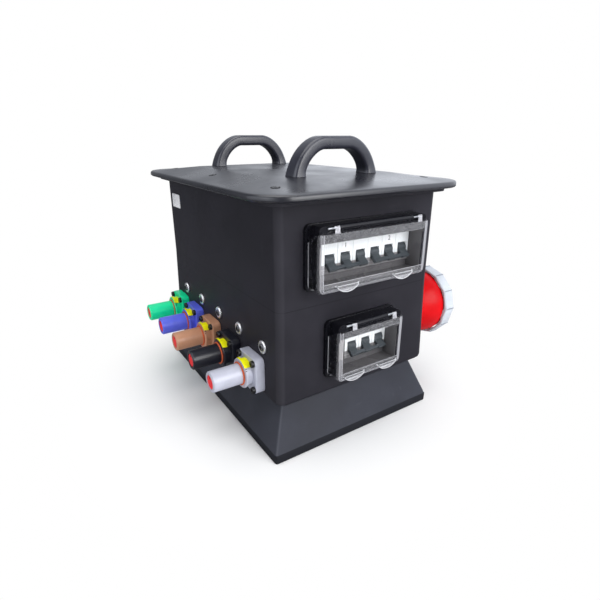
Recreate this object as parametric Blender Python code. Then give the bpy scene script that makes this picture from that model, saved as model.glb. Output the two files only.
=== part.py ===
"""A stage power distribution box: rubber enclosure, five single-pole connectors, breakers and a round inlet.

Frame: metres, +Z up, X to the right along the breaker face, +Y towards the back, origin under the middle of
the base. The breaker face looks along -Y, the single-pole connectors along -X and the round inlet along +X.
"""
import math

import bmesh
import bpy
from mathutils import Matrix, Vector

# Gap kept between two pieces that touch, and how far a cutter runs past what it cuts
TOUCH = 0.0003
PAST = 0.010
# Radial clearance of what turns on a pin or in a recess
RUN_CLEAR = 0.0004
# Edges that meet at more than this angle stay sharp
SHARP_DEG = 35.0
# Small break on the rims of moulded and turned pieces
EDGE = 0.001
# Points closer than this are one
WELD = 0.00001
# Sides of round forms, and steps of a rounded corner or edge
PIN_SIDES = 12
BOLT_SIDES = 12
HINGE_SIDES = 16
ROTOR_SIDES = 16
CONNECTOR_SIDES = 20
INLET_SIDES = 28
EDGE_STEPS = 3

# Enclosure body, a moulded tub whose lower walls lean out below a crease
BODY_WIDTH = 0.2834
BODY_DEPTH = 0.418
BODY_HEIGHT = 0.290
BODY_WALL = 0.005
BODY_CORNER = 0.012
BODY_CORNER_STEPS = 5
BODY_INNER_CORNER = 0.007
BODY_FOOT_ROUND = 0.008
CREASE_HEIGHT = 0.1445
FLARE = 0.0033
LIP_REACH = 0.015
LIP_THICK = 0.0045
# Each fitting on a leaning wall sits in a shallow vertical seat moulded this much larger than it
SEAT_MARGIN = 0.001

# Gasket and lid
GASKET_THICK = 0.0012
GASKET_INSET = 0.003
LID_OVERHANG = 0.0333
LID_THICK = 0.009
LID_CORNER = 0.050
LID_CORNER_STEPS = 6
LID_EDGE_ROUND = 0.004
LID_RIM_FLAT = 0.014
LID_RIM_RISE = 0.0004
PLATEAU_INSET_X = 0.069
PLATEAU_INSET_Y = 0.0915
PLATEAU_RISE = 0.0085
PLATEAU_CORNER = 0.016

# Carry handles, one near each end of the plateau, both running along X
HANDLE_LENGTH = 0.150
HANDLE_RISE = 0.0535
HANDLE_LEVEL = 0.045
HANDLE_SHOULDER_POWER = 1.7
GRIP_THICK = 0.018
GRIP_WIDTH = 0.028
GRIP_ROUND = 0.0055
HANDLE_FOOT_FLARE = 0.0015
HANDLE_FOOT_SPREAD = 0.001
HANDLE_FOOT_RISE = 0.016
HANDLE_MARGIN = 0.005
HANDLE_SHOULDER_STEPS = 9

# Base plinth, a frustum hollow from below on both sides of a middle web
BASE_HEIGHT = 0.086
BASE_RIM = 0.015
BASE_SPREAD_X = 0.0143
BASE_SPREAD_Y = 0.0105
BASE_TUCK_X = 0.0137
BASE_TUCK_Y = 0.017
BASE_CORNER = 0.004
BASE_WALL = 0.009
BASE_WEB = 0.024
BASE_ROOF = 0.008

# Breakers, in poles side by side on a top-hat rail
POLE_PITCH = 0.027
POLES_PER_BREAKER = 3
BREAKER_GAP = 0.0005
NOSE_HEIGHT = 0.045
NOSE_DEPTH = 0.016
BREAKER_HEIGHT = 0.081
BREAKER_DEPTH = 0.0675
POLE_GROOVE = 0.0008
ROTOR_RADIUS = 0.0075
ROTOR_WIDTH = 0.0155
ROTOR_DEPTH = 0.0055
ROTOR_SLOT_DEPTH = 0.0038
ROTOR_DROP = 0.0033
PADDLE_REACH = 0.0185
PADDLE_THICK = 0.0060
PADDLE_TAPER = 0.85
PADDLE_DROOP_DEG = 38.0
TIE_BAR_HEIGHT = 0.0050
TIE_BAR_DEPTH = 0.0045
RAIL_HEIGHT = 0.035
RAIL_DEPTH = 0.0075
RAIL_BRIM = 0.005
RAIL_SHEET = 0.0015
BRACKET_SHEET = 0.002
BRACKET_FOOT = 0.014

# Window frames and their hinged clear covers
FRAME_HEIGHT = 0.091
FRAME_PLATE = 0.005
FRAME_CORNER = 0.008
FRAME_MARGIN = 0.003
FRAME_SKIRT = 0.006
MASK_SET_BACK = 0.003
COLLAR_WALL = 0.003
COLLAR_CORNER = 0.005
COLLAR_REACH = 0.024
BRIDGE_HEIGHT = 0.023
BRIDGE_REACH = 0.0262
WINDOW_SIDE_GAP = 0.001
WINDOW_SILL = 0.008
NOSE_ABOVE_PLATE_FOOT = 0.018
# Middle of both windows, to the left of the enclosure's
WINDOW_SHIFT = -0.0025
BLANK_WIDTH_WIDE = 0.019
BLANK_WIDTH_NARROW = 0.029
BLANK_PROUD = 0.0015
# Shares of the height that the two frames leave free: above the upper one, and between them
WINDOW_TOP_SHARE = 0.2824
WINDOW_GAP_SHARE = 0.4583
HINGE_DROP = 0.0040
BARREL_RADIUS = 0.0042
PIN_RADIUS = 0.0015
LUG_RADIUS = 0.0046
LUG_WIDTH = 0.016
LUG_INSET = 0.016
COVER_CLEAR = 0.001
COVER_WALL = 0.002
COVER_FRONT = 0.031
COVER_CORNER = 0.009
COVER_ROUND = 0.005
COVER_TOP_EASE = 0.5
COVER_TOP_GAP = 0.0050
CREST_STEP = 0.0005
LUG_EYE_DEG = 285.0
LUG_EYE_STEPS = 10
TAB_HALF_CHORD = 0.018
TAB_DEPTH = 0.0075
TAB_RISE = 0.0065
TAB_PROUD = 0.0025
TAB_THICK = 0.0055
TAB_PLACE = 0.52
TAB_ARC_STEPS = 8

# Single-pole connectors, front to back along the left wall
CONNECTOR_COLOURS = ("grey", "black", "brown", "blue", "green")
CONNECTOR_FRONT_MARGIN = 0.0665
CONNECTOR_REAR_MARGIN = 0.0415
CONNECTOR_HEIGHT = 0.0347
CONNECTOR_FLANGE = 0.056
CONNECTOR_FLANGE_THICK = 0.0147
CONNECTOR_FLANGE_CORNER = 0.008
COLLAR_RADIUS = 0.0205
COLLAR_LENGTH = 0.0085
RIM_RADIUS = 0.0228
RIM_LENGTH = 0.0035
SEAL_RADIUS = 0.0192
SEAL_LENGTH = 0.0026
BARREL_OUTER = 0.0158
CONNECTOR_REACH = 0.0740
BARREL_EDGE = 0.0015
GUARD_RADIUS = 0.0108
GUARD_DEPTH = 0.012
GUARD_SET_BACK = 0.0006
SPIGOT_LENGTH = 0.022
TAIL_RADIUS = 0.006
TAIL_LENGTH = 0.014

# Wall bolts above the connectors
WALL_BOLT_HEIGHT = 0.0803
WALL_BOLT_SHIFT = -0.0237
WALL_BOLT_FLANGE = 0.0103
WALL_BOLT_FLANGE_THICK = 0.0022
WALL_BOLT_HEAD = 0.0066
WALL_BOLT_HEAD_HEIGHT = 0.0045
WALL_BOLT_SOCKET = 0.0033
WALL_BOLT_SOCKET_DEPTH = 0.003
WALL_BOLT_SHANK = 0.003
WALL_BOLT_LENGTH = 0.016

# Round five-pin inlet with its turning lock ring
INLET_HEIGHT = 0.0747
INLET_FLANGE = 0.104
INLET_FLANGE_THICK = 0.009
INLET_FLANGE_CORNER = 0.010
INLET_REAR_RADIUS = 0.038
INLET_REAR_LENGTH = 0.024
INLET_NECK = 0.0425
INLET_FLARE_LEAD = 0.002
INLET_FLARE_LAND = 0.006
INLET_FLARE_STEP = 0.0022
INLET_FLARE_RINGS = 5
INLET_SHROUD = 0.0540
INLET_SHROUD_WALL = 0.0050
INLET_RING_START = 0.0590
INLET_RING_WIDTH = 0.0210
INLET_RING_CORNER_RADIUS = 0.0630
INLET_RING_BORE = 0.0573
INLET_RING_SIDES = 12
INLET_RING_STATIONS = 4
INLET_LUG_LENGTH = 0.0045
RING_EDGE = 0.0016
INLET_SHROUD_END = 0.0770
INLET_CAVITY_DEPTH = 0.0480
INLET_INSERT_THICK = 0.010
INLET_PINS = 5
INLET_PIN_CIRCLE = 0.0270
INLET_PIN_RADIUS = 0.0050
INLET_EARTH_RADIUS = 0.0060
INLET_PIN_RECESS = 0.006
INLET_PIN_NOSE = 0.0018
INLET_PIN_SIDES = 14

# Places worked out from the driving sizes
BODY_FOOT_Z = BASE_HEIGHT + TOUCH
BODY_TOP_Z = BODY_FOOT_Z + BODY_HEIGHT
CREASE_Z = BODY_FOOT_Z + CREASE_HEIGHT
GASKET_Z = BODY_TOP_Z + TOUCH
LID_UNDER_Z = GASKET_Z + GASKET_THICK + TOUCH
LID_RIM_Z = LID_UNDER_Z + LID_THICK
PLATEAU_Z = LID_RIM_Z + PLATEAU_RISE


def material(name, colour, roughness=0.5, metallic=0.0, alpha=1.0):
    """Make a Principled material for one sub-part."""
    made = bpy.data.materials.new(name)
    made.use_nodes = True
    shader = made.node_tree.nodes["Principled BSDF"]
    shader.inputs["Base Color"].default_value = (*colour, 1.0)
    shader.inputs["Roughness"].default_value = roughness
    shader.inputs["Metallic"].default_value = metallic
    shader.inputs["Alpha"].default_value = alpha
    return made


def add_object(name, mesh_data, finish=None):
    """Put a bmesh into the scene as one object, smooth but for its sharp edges."""
    bmesh.ops.recalc_face_normals(mesh_data, faces=mesh_data.faces)
    mesh = bpy.data.meshes.new(name)
    mesh_data.to_mesh(mesh)
    mesh_data.free()
    mesh.shade_smooth()
    mesh.set_sharp_from_angle(angle=math.radians(SHARP_DEG))
    made = bpy.data.objects.new(name, mesh)
    bpy.context.scene.collection.objects.link(made)
    if finish:
        mesh.materials.append(finish)
    return made


def place_origin(made, point):
    """Move an object's origin to a point without moving its shape."""
    made.data.transform(Matrix.Translation(-Vector(point)))
    made.location = Vector(point)
    return made


def rounded_rectangle(half_a, half_b, radius, steps=4):
    """Corner points of a rounded rectangle as (a, b) pairs, counter-clockwise."""
    radius = min(radius, half_a * 0.98, half_b * 0.98)
    points = []
    for quarter, (side_a, side_b) in enumerate(((1, 1), (-1, 1), (-1, -1), (1, -1))):
        for step in range(steps + 1):
            angle = math.radians(90) * (quarter + step / steps)
            points.append((side_a * (half_a - radius) + radius * math.cos(angle),
                           side_b * (half_b - radius) + radius * math.sin(angle)))
    return points


def circle(radius, count, start=0.0):
    """Points of a circle as (a, b) pairs, counter-clockwise."""
    turn = 2 * math.pi / count
    return [(radius * math.cos(start + i * turn), radius * math.sin(start + i * turn)) for i in range(count)]


def skin(loops, hollow=False):
    """Join a run of equal point loops into one closed surface, capped, or closed on itself if hollow."""
    made = bmesh.new()
    rows = [[made.verts.new(Vector(point)) for point in loop] for loop in loops]
    count = len(rows[0])
    pairs = list(zip(rows, rows[1:]))
    if hollow:
        pairs.append((rows[-1], rows[0]))
    else:
        made.faces.new(rows[0])
        made.faces.new(rows[-1])
    for low, high in pairs:
        for i in range(count):
            j = (i + 1) % count
            made.faces.new((low[i], low[j], high[j], high[i]))
    return made


def layer(outline, z):
    """Lay an (x, y) outline at height z."""
    return [(x, y, z) for x, y in outline]


def turned(profile, centre, along, count, hollow=False):
    """Turn (distance, radius) pairs about a line through centre that runs along a unit axis."""
    axis = Vector(along)
    side = Vector((0, 0, 1)) if abs(axis.z) < 0.5 else Vector((1, 0, 0))
    other = axis.cross(side)
    loops = []
    for distance, radius in profile:
        base = Vector(centre) + axis * distance
        loops.append([base + side * a + other * b for a, b in circle(radius, count)])
    return skin(loops, hollow)


def prism_x(outline, x_low, x_high):
    """Extrude a (y, z) outline along X."""
    return skin([[(x_low, y, z) for y, z in outline], [(x_high, y, z) for y, z in outline]])


def slab(axis, outline, low, high):
    """Extrude an outline between two places on the X, Y or Z axis; the outline holds the other two."""
    place = "XYZ".index(axis)
    return skin([[(*pair[:place], at, *pair[place:]) for pair in outline] for at in (low, high)])


def box(low, high):
    """A block between two opposite corners."""
    outline = [(low[0], low[1]), (high[0], low[1]), (high[0], high[1]), (low[0], high[1])]
    return skin([layer(outline, low[2]), layer(outline, high[2])])


def shape(target, operation, tool_mesh):
    """Apply one exact Boolean to a target object and drop the tool."""
    tool = add_object(target.name + "_tool", tool_mesh)
    modifier = target.modifiers.new("Shape", "BOOLEAN")
    modifier.operation = operation
    modifier.solver = "EXACT"
    modifier.object = tool
    bpy.context.view_layer.update()
    evaluated = target.evaluated_get(bpy.context.evaluated_depsgraph_get())
    baked = bpy.data.meshes.new_from_object(evaluated)
    target.modifiers.remove(modifier)
    old = target.data
    target.data = baked
    bpy.data.objects.remove(tool)
    bpy.data.meshes.remove(old)
    baked.shade_smooth()
    baked.set_sharp_from_angle(angle=math.radians(SHARP_DEG))
    return target


def cut(target, tool_mesh):
    """Take a tool's volume away from a target."""
    return shape(target, "DIFFERENCE", tool_mesh)


def join(target, tool_mesh):
    """Add a tool's volume to a target."""
    return shape(target, "UNION", tool_mesh)


def lean(z):
    """How far the enclosure's walls stand out at height z, past their upper width."""
    if z >= CREASE_Z:
        return 0.0
    return FLARE * (CREASE_Z - z) / CREASE_HEIGHT


def seat_half(wall_half, top_z):
    """Half-size at which a fitting seats: the wall's own at the fitting's top edge."""
    return wall_half + lean(top_z)


def window_rows():
    """Name, breakers, blank width and plate foot height of the two windows."""
    free = BODY_HEIGHT - 2 * FRAME_HEIGHT
    upper_foot = BODY_TOP_Z - free * WINDOW_TOP_SHARE - FRAME_HEIGHT
    lower_foot = upper_foot - free * WINDOW_GAP_SHARE - FRAME_HEIGHT
    return (("upper", 2, BLANK_WIDTH_WIDE, upper_foot), ("lower", 1, BLANK_WIDTH_NARROW, lower_foot))


class Window:
    """Sizes and places of one breaker window, measured outwards from its seat on the wall."""

    def __init__(self, name, breakers, blank_width, foot_z):
        self.name = name
        self.breakers = breakers
        self.blank_width = blank_width
        self.middle = WINDOW_SHIFT
        self.foot_z = foot_z
        self.top_z = foot_z + FRAME_HEIGHT
        self.row_width = breakers * POLES_PER_BREAKER * POLE_PITCH
        self.inner = (self.row_width + blank_width) / 2 + WINDOW_SIDE_GAP
        self.collar = self.inner + COLLAR_WALL
        self.cover = self.collar + COVER_CLEAR + COVER_WALL
        self.plate = self.cover + FRAME_MARGIN
        self.sill_z = foot_z + WINDOW_SILL
        self.head_z = self.top_z - BRIDGE_HEIGHT
        self.nose_z = foot_z + NOSE_ABOVE_PLATE_FOOT + NOSE_HEIGHT / 2
        self.rotor_z = self.nose_z - ROTOR_DROP
        self.hinge_z = self.top_z - HINGE_DROP
        self.seat = seat_half(BODY_DEPTH / 2, self.top_z)
        self.row_right = self.middle + self.inner - WINDOW_SIDE_GAP
        self.row_left = self.row_right - self.row_width
        self.barrel_half = self.cover - LUG_INSET - LUG_WIDTH - RUN_CLEAR

    def y(self, outwards):
        """World Y of a plane this far outwards from the wall's seat."""
        return -self.seat - TOUCH - outwards

    def sides(self, half):
        """World X of both sides of something this far from the window's middle."""
        return self.middle - half, self.middle + half

    def block(self, x_low, x_high, z_low, z_high, out_low, out_high):
        """A block between two world X, two world Z and two planes outwards from the seat."""
        return box((x_low, self.y(out_high), z_low), (x_high, self.y(out_low), z_high))

    def plate_outline(self, half, z_low, z_high, corner, steps=3):
        """Rounded outline in X and Z, centred on the window."""
        level = (z_low + z_high) / 2
        outline = rounded_rectangle(half, (z_high - z_low) / 2, corner, steps)
        return [(x + self.middle, z + level) for x, z in outline]


WINDOWS = tuple(Window(*row) for row in window_rows())


def connector_places():
    """Y of each single-pole connector, front to back."""
    front = -BODY_DEPTH / 2 + CONNECTOR_FRONT_MARGIN
    rear = BODY_DEPTH / 2 - CONNECTOR_REAR_MARGIN
    pitch = (rear - front) / (len(CONNECTOR_COLOURS) - 1)
    return [front + index * pitch for index in range(len(CONNECTOR_COLOURS))]


CONNECTOR_Z = BODY_FOOT_Z + CONNECTOR_HEIGHT
CONNECTOR_SEAT = seat_half(BODY_WIDTH / 2, CONNECTOR_Z + CONNECTOR_FLANGE / 2)
WALL_BOLT_Z = BODY_FOOT_Z + WALL_BOLT_HEIGHT
WALL_BOLT_SEAT = seat_half(BODY_WIDTH / 2, WALL_BOLT_Z + WALL_BOLT_FLANGE)
INLET_Y = -(BODY_DEPTH / 2 - BODY_CORNER - INLET_FLANGE / 2)
INLET_Z = BODY_FOOT_Z + INLET_HEIGHT
INLET_SEAT = seat_half(BODY_WIDTH / 2, INLET_Z + INLET_FLANGE / 2)


def body_loop(z, offset, corner):
    """Outline of the enclosure at height z, moved out by offset."""
    out = lean(z) + offset
    return layer(rounded_rectangle(BODY_WIDTH / 2 + out, BODY_DEPTH / 2 + out, corner, BODY_CORNER_STEPS), z)


def build_body():
    """The tub: rounded foot, leaning lower walls, crease, upright upper walls and a lip round the top."""
    loops = []
    for step in range(EDGE_STEPS + 1):
        angle = math.radians(90) * step / EDGE_STEPS
        inset = BODY_FOOT_ROUND * (1 - math.sin(angle))
        rise = BODY_FOOT_ROUND * (1 - math.cos(angle))
        loops.append(body_loop(BODY_FOOT_Z + rise, -inset, BODY_CORNER))
    lip_z = BODY_TOP_Z - LIP_THICK
    loops.append(body_loop(CREASE_Z, 0, BODY_CORNER))
    loops.append(body_loop(lip_z, 0, BODY_CORNER))
    loops.append(body_loop(lip_z, LIP_REACH, BODY_CORNER + LIP_REACH))
    loops.append(body_loop(BODY_TOP_Z, LIP_REACH, BODY_CORNER + LIP_REACH))
    loops.append(body_loop(BODY_TOP_Z, -BODY_WALL, BODY_INNER_CORNER))
    loops.append(body_loop(CREASE_Z, -BODY_WALL, BODY_INNER_CORNER))
    loops.append(body_loop(BODY_FOOT_Z + BODY_FOOT_ROUND, -BODY_WALL, BODY_INNER_CORNER))
    loops.append(body_loop(BODY_FOOT_Z + BODY_WALL, -BODY_WALL - BODY_FOOT_ROUND / 3, BODY_INNER_CORNER))
    body = add_object("enclosure_body", skin(loops), material("rubber_body", (0.012, 0.012, 0.013), 0.42))
    for y in connector_places():
        cut_seat(body, "left", CONNECTOR_SEAT, y, CONNECTOR_Z, CONNECTOR_FLANGE / 2 + SEAT_MARGIN)
        spigot = BARREL_OUTER + RUN_CLEAR
        place = (-CONNECTOR_SEAT, y, CONNECTOR_Z)
        cut(body, turned([(-PAST, spigot), (2 * PAST, spigot)], place, (1, 0, 0), CONNECTOR_SIDES))
    for y in connector_places():
        place = (-WALL_BOLT_SEAT, y + WALL_BOLT_SHIFT, WALL_BOLT_Z)
        rim = WALL_BOLT_FLANGE + SEAT_MARGIN
        cut(body, turned([(-PAST, rim), (0, rim)], place, (1, 0, 0), BOLT_SIDES))
        hole = WALL_BOLT_SHANK + RUN_CLEAR
        cut(body, turned([(-PAST, hole), (2 * PAST, hole)], place, (1, 0, 0), BOLT_SIDES))
    cut_seat(body, "right", INLET_SEAT, INLET_Y, INLET_Z, INLET_FLANGE / 2 + SEAT_MARGIN)
    rear = INLET_REAR_RADIUS + RUN_CLEAR
    place = (INLET_SEAT, INLET_Y, INLET_Z)
    cut(body, turned([(-2 * PAST, rear), (PAST, rear)], place, (1, 0, 0), INLET_SIDES))
    for window in WINDOWS:
        if window.foot_z < CREASE_Z:
            half = window.plate + SEAT_MARGIN
            outline = window.plate_outline(half, window.foot_z - SEAT_MARGIN, window.top_z + SEAT_MARGIN,
                                           FRAME_CORNER + SEAT_MARGIN)
            cut(body, slab("Y", outline, -window.seat - PAST, -window.seat))
        half = window.collar + RUN_CLEAR
        outline = window.plate_outline(half, window.sill_z - COLLAR_WALL - RUN_CLEAR,
                                       window.head_z + COLLAR_WALL + RUN_CLEAR, COLLAR_WALL)
        cut(body, slab("Y", outline, -window.seat - PAST, -window.seat + 2 * PAST))
    return body


def cut_seat(body, side, seat, y, z, half):
    """Cut a vertical square seat into a leaning side wall."""
    outline = [(y + a, z + b) for a, b in rounded_rectangle(half, half, CONNECTOR_FLANGE_CORNER, 2)]
    if side == "left":
        cut(body, slab("X", outline, -seat - PAST, -seat))
    else:
        cut(body, slab("X", outline, seat, seat + PAST))


def build_gasket():
    """The flat seal between the enclosure's lip and the lid."""
    outer = LIP_REACH - GASKET_INSET
    corner = BODY_CORNER + outer
    low, high = GASKET_Z, GASKET_Z + GASKET_THICK
    loops = [body_loop(low, outer, corner), body_loop(high, outer, corner),
             body_loop(high, -BODY_WALL, BODY_INNER_CORNER), body_loop(low, -BODY_WALL, BODY_INNER_CORNER)]
    return add_object("lid_gasket", skin(loops, hollow=True), material("gasket", (0.02, 0.02, 0.02), 0.8))


def build_lid():
    """The lid: an overhanging rim with a rounded edge, rising gently to a flat plateau."""
    half_x = BODY_WIDTH / 2 + LID_OVERHANG
    half_y = BODY_DEPTH / 2 + LID_OVERHANG

    def loop(size_x, size_y, corner, z):
        return layer(rounded_rectangle(size_x, size_y, corner, LID_CORNER_STEPS), z)

    round_off = min(LID_EDGE_ROUND, LID_THICK / 2)
    ease = round_off / 2
    loops = [loop(half_x - ease, half_y - ease, LID_CORNER - ease, LID_UNDER_Z),
             loop(half_x, half_y, LID_CORNER, LID_UNDER_Z + ease)]
    for step in range(EDGE_STEPS + 1):
        angle = math.radians(90) * step / EDGE_STEPS
        inset = round_off * (1 - math.cos(angle))
        loops.append(loop(half_x - inset, half_y - inset, LID_CORNER - inset,
                          LID_RIM_Z - round_off * (1 - math.sin(angle))))
    flat = round_off + LID_RIM_FLAT
    loops.append(loop(half_x - flat, half_y - flat, LID_CORNER - flat, LID_RIM_Z + LID_RIM_RISE))
    loops.append(loop(half_x - PLATEAU_INSET_X, half_y - PLATEAU_INSET_Y, PLATEAU_CORNER, PLATEAU_Z))
    return add_object("lid", skin(loops), material("lid_plastic", (0.016, 0.016, 0.017), 0.3))


def handle_path():
    """Stations of a handle as (x, z, angle, thickness, width), from one foot over to the other.

    The grip is level, and each shoulder is a quarter of a superellipse that ends upright on its foot.
    """
    level = HANDLE_LEVEL / 2
    reach = HANDLE_LENGTH / 2 - GRIP_THICK / 2 - HANDLE_FOOT_FLARE - level
    top = HANDLE_RISE - GRIP_THICK / 2
    bend = 2 / HANDLE_SHOULDER_POWER
    line = []
    for step in range(HANDLE_SHOULDER_STEPS + 1):
        turn = math.radians(90) * step / HANDLE_SHOULDER_STEPS
        line.append((-level - reach * math.cos(turn) ** bend, top * math.sin(turn) ** bend))
    half = []
    for step, (x, z) in enumerate(line):
        if step == 0:
            angle = 90.0
        elif step == HANDLE_SHOULDER_STEPS:
            angle = 0.0
        else:
            (x_before, z_before), (x_after, z_after) = line[step - 1], line[step + 1]
            angle = math.degrees(math.atan2(z_after - z_before, x_after - x_before))
        share = max(0.0, 1 - z / HANDLE_FOOT_RISE) ** 2
        half.append((x, z, angle, GRIP_THICK + 2 * HANDLE_FOOT_FLARE * share,
                     GRIP_WIDTH + 2 * HANDLE_FOOT_SPREAD * share))
    other = [(-x, z, -angle, thick, width) for x, z, angle, thick, width in reversed(half)]
    return half + other


def build_handle(name, y):
    """A moulded carry handle: a rounded grip bent down to two flared feet."""
    loops = []
    for x, z, angle, thick, width in handle_path():
        lift = math.radians(angle)
        across = Vector((-math.sin(lift), 0, math.cos(lift)))
        centre = Vector((x, y, PLATEAU_Z + TOUCH + z))
        outline = rounded_rectangle(thick / 2, width / 2, GRIP_ROUND, 2)
        loops.append([centre + across * a + Vector((0, b, 0)) for a, b in outline])
    return add_object(name, skin(loops), material(name + "_plastic", (0.014, 0.014, 0.015), 0.4))


def build_base():
    """The plinth: an upright rim under four sloping faces, hollow from below beside a middle web."""
    foot_x = BODY_WIDTH / 2 + BASE_SPREAD_X
    foot_y = BODY_DEPTH / 2 + BASE_SPREAD_Y
    top_x = BODY_WIDTH / 2 - BASE_TUCK_X
    top_y = BODY_DEPTH / 2 - BASE_TUCK_Y
    edge = BASE_CORNER / 4

    def loop(size_x, size_y, z):
        return layer(rounded_rectangle(size_x, size_y, BASE_CORNER, 2), z)

    loops = [loop(foot_x - edge, foot_y - edge, 0.0), loop(foot_x, foot_y, edge),
             loop(foot_x, foot_y, BASE_RIM - edge), loop(foot_x - edge, foot_y - edge, BASE_RIM + edge),
             loop(top_x, top_y, BASE_HEIGHT)]
    base = add_object("base_plinth", skin(loops), material("base_rubber", (0.011, 0.011, 0.013), 0.5))
    end_y = top_y - BASE_WALL
    for side in (-1, 1):
        xs = sorted((side * BASE_WEB / 2, side * (top_x - BASE_WALL)))
        cut(base, box((xs[0], -end_y, -PAST), (xs[1], end_y, BASE_HEIGHT - BASE_ROOF)))
    return base


def build_frame(window):
    """A window frame: wall plate, sealing collar, top bridge with the hinge barrel, and the breaker mask."""
    outline = window.plate_outline(window.plate, window.foot_z, window.top_z, FRAME_CORNER)
    frame = add_object("window_frame_" + window.name, slab("Y", outline, window.y(FRAME_PLATE), window.y(0)),
                       material("frame_" + window.name, (0.006, 0.006, 0.006), 0.3))
    outline = window.plate_outline(window.collar, window.sill_z - COLLAR_WALL, window.head_z + COLLAR_WALL,
                                   COLLAR_CORNER)
    join(frame, slab("Y", outline, window.y(COLLAR_REACH), window.y(-FRAME_SKIRT)))
    outline = window.plate_outline(window.collar, window.head_z - COLLAR_CORNER, window.top_z - EDGE,
                                   COLLAR_CORNER)
    join(frame, slab("Y", outline, window.y(BRIDGE_REACH), window.y(FRAME_PLATE / 2)))
    axis = (window.middle, window.y(BRIDGE_REACH), window.hinge_z)
    half = window.barrel_half
    join(frame, turned([(-half, BARREL_RADIUS), (half, BARREL_RADIUS)], axis, (1, 0, 0), HINGE_SIDES))
    left, right = window.sides(window.inner)
    cut(frame, window.block(left, right, window.sill_z, window.head_z, -MASK_SET_BACK, COLLAR_REACH + PAST))
    mask_half = NOSE_HEIGHT / 2 + WINDOW_SIDE_GAP
    cut(frame, window.block(left, right, window.nose_z - mask_half, window.nose_z + mask_half,
                            -FRAME_SKIRT - PAST, PAST))
    pocket = LUG_RADIUS + RUN_CLEAR
    for side in (-1, 1):
        start = side * half
        reach = side * (LUG_WIDTH + 2 * RUN_CLEAR)
        profile = sorted(((start, pocket), (start + reach, pocket)))
        cut(frame, turned(profile, axis, (1, 0, 0), HINGE_SIDES))
    bore = PIN_RADIUS + RUN_CLEAR
    cut(frame, turned([(-half - PAST, bore), (half + PAST, bore)], axis, (1, 0, 0), PIN_SIDES))
    return frame


def build_hinge_pin(window):
    """The pin through the frame's barrel and the cover's lugs."""
    half = window.barrel_half + LUG_WIDTH + RUN_CLEAR
    axis = (window.middle, window.y(BRIDGE_REACH), window.hinge_z)
    pin = turned([(-half, PIN_RADIUS), (half, PIN_RADIUS)], axis, (1, 0, 0), PIN_SIDES)
    finish = material("pin_" + window.name, (0.3, 0.3, 0.3), 0.3, 1.0)
    return add_object("hinge_pin_" + window.name, pin, finish)


def tab_outline(window, x):
    """Half-moon outline of a latch tab in X and Z, across the cover's lower front edge."""
    foot = window.sill_z - COLLAR_WALL - COVER_CLEAR - COVER_WALL + TAB_RISE
    radius = (TAB_HALF_CHORD ** 2 + TAB_DEPTH ** 2) / (2 * TAB_DEPTH)
    spread = math.asin(TAB_HALF_CHORD / radius)
    points = []
    for step in range(TAB_ARC_STEPS + 1):
        angle = -spread + 2 * spread * step / TAB_ARC_STEPS
        points.append((x + radius * math.sin(angle), foot - TAB_DEPTH + radius - radius * math.cos(angle)))
    return points + [(x + TAB_HALF_CHORD, foot + TAB_RISE / 2), (x - TAB_HALF_CHORD, foot + TAB_RISE / 2)]


def build_cover(window):
    """The clear hinged cover: a rounded tray over the collar, with two hinge lugs and two latch tabs."""
    foot = window.sill_z - COLLAR_WALL - COVER_CLEAR - COVER_WALL
    top = window.hinge_z - HINGE_DROP / 2
    rim = FRAME_PLATE + COVER_CLEAR
    front = COVER_FRONT

    def tray(wall, rear, roof):
        rounding = COVER_ROUND - wall
        loops = [flat_loop(wall, 0, rear, roof)]
        for step in range(EDGE_STEPS + 1):
            angle = math.radians(90) * step / EDGE_STEPS
            inset = rounding * (1 - math.cos(angle))
            loops.append(flat_loop(wall, inset, front - COVER_ROUND + rounding * math.sin(angle), roof))
        return skin(loops)

    def flat_loop(wall, inset, outwards, roof):
        outline = window.plate_outline(window.cover - wall - inset, foot + wall + inset,
                                       roof - inset * COVER_TOP_EASE, COVER_CORNER - wall - inset)
        return [(x, window.y(outwards), z) for x, z in outline]

    cover = add_object("window_cover_" + window.name, tray(0, rim, top),
                       material("clear_" + window.name, (0.85, 0.87, 0.88), 0.08, 0.0, 0.3))
    cut(cover, tray(COVER_WALL, rim - PAST, top + PAST))
    pane = front - COVER_WALL
    reach_in = window.y(rim - PAST)
    crest = window.y(pane - CREST_STEP)
    slope = [(reach_in, window.head_z), (window.y(rim), window.head_z),
             (crest, window.hinge_z - BARREL_RADIUS), (crest, top + PAST), (reach_in, top + PAST)]
    cut(cover, prism_x(slope, *window.sides(window.cover + PAST)))
    half = window.barrel_half
    left, right = window.sides(half + RUN_CLEAR)
    cut(cover, window.block(left, right, window.hinge_z - COVER_TOP_GAP, top + PAST, rim, front + PAST))
    axis = (window.middle, window.y(BRIDGE_REACH), window.hinge_z)
    for side in (-1, 1):
        start = side * (half + RUN_CLEAR)
        ends = sorted((start, start + side * LUG_WIDTH))
        join(cover, prism_x(lug_outline(window), window.middle + ends[0], window.middle + ends[1]))
        bore = PIN_RADIUS + RUN_CLEAR
        cut(cover, turned([(ends[0] - EDGE, bore), (ends[1] + EDGE, bore)], axis, (1, 0, 0), PIN_SIDES))
    for side in (-1, 1):
        x = window.middle + side * TAB_PLACE * window.cover
        tab_front = front + TAB_PROUD
        tab = slab("Y", tab_outline(window, x), window.y(tab_front), window.y(tab_front - TAB_THICK))
        join(cover, tab)
    return place_origin(cover, axis)


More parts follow.
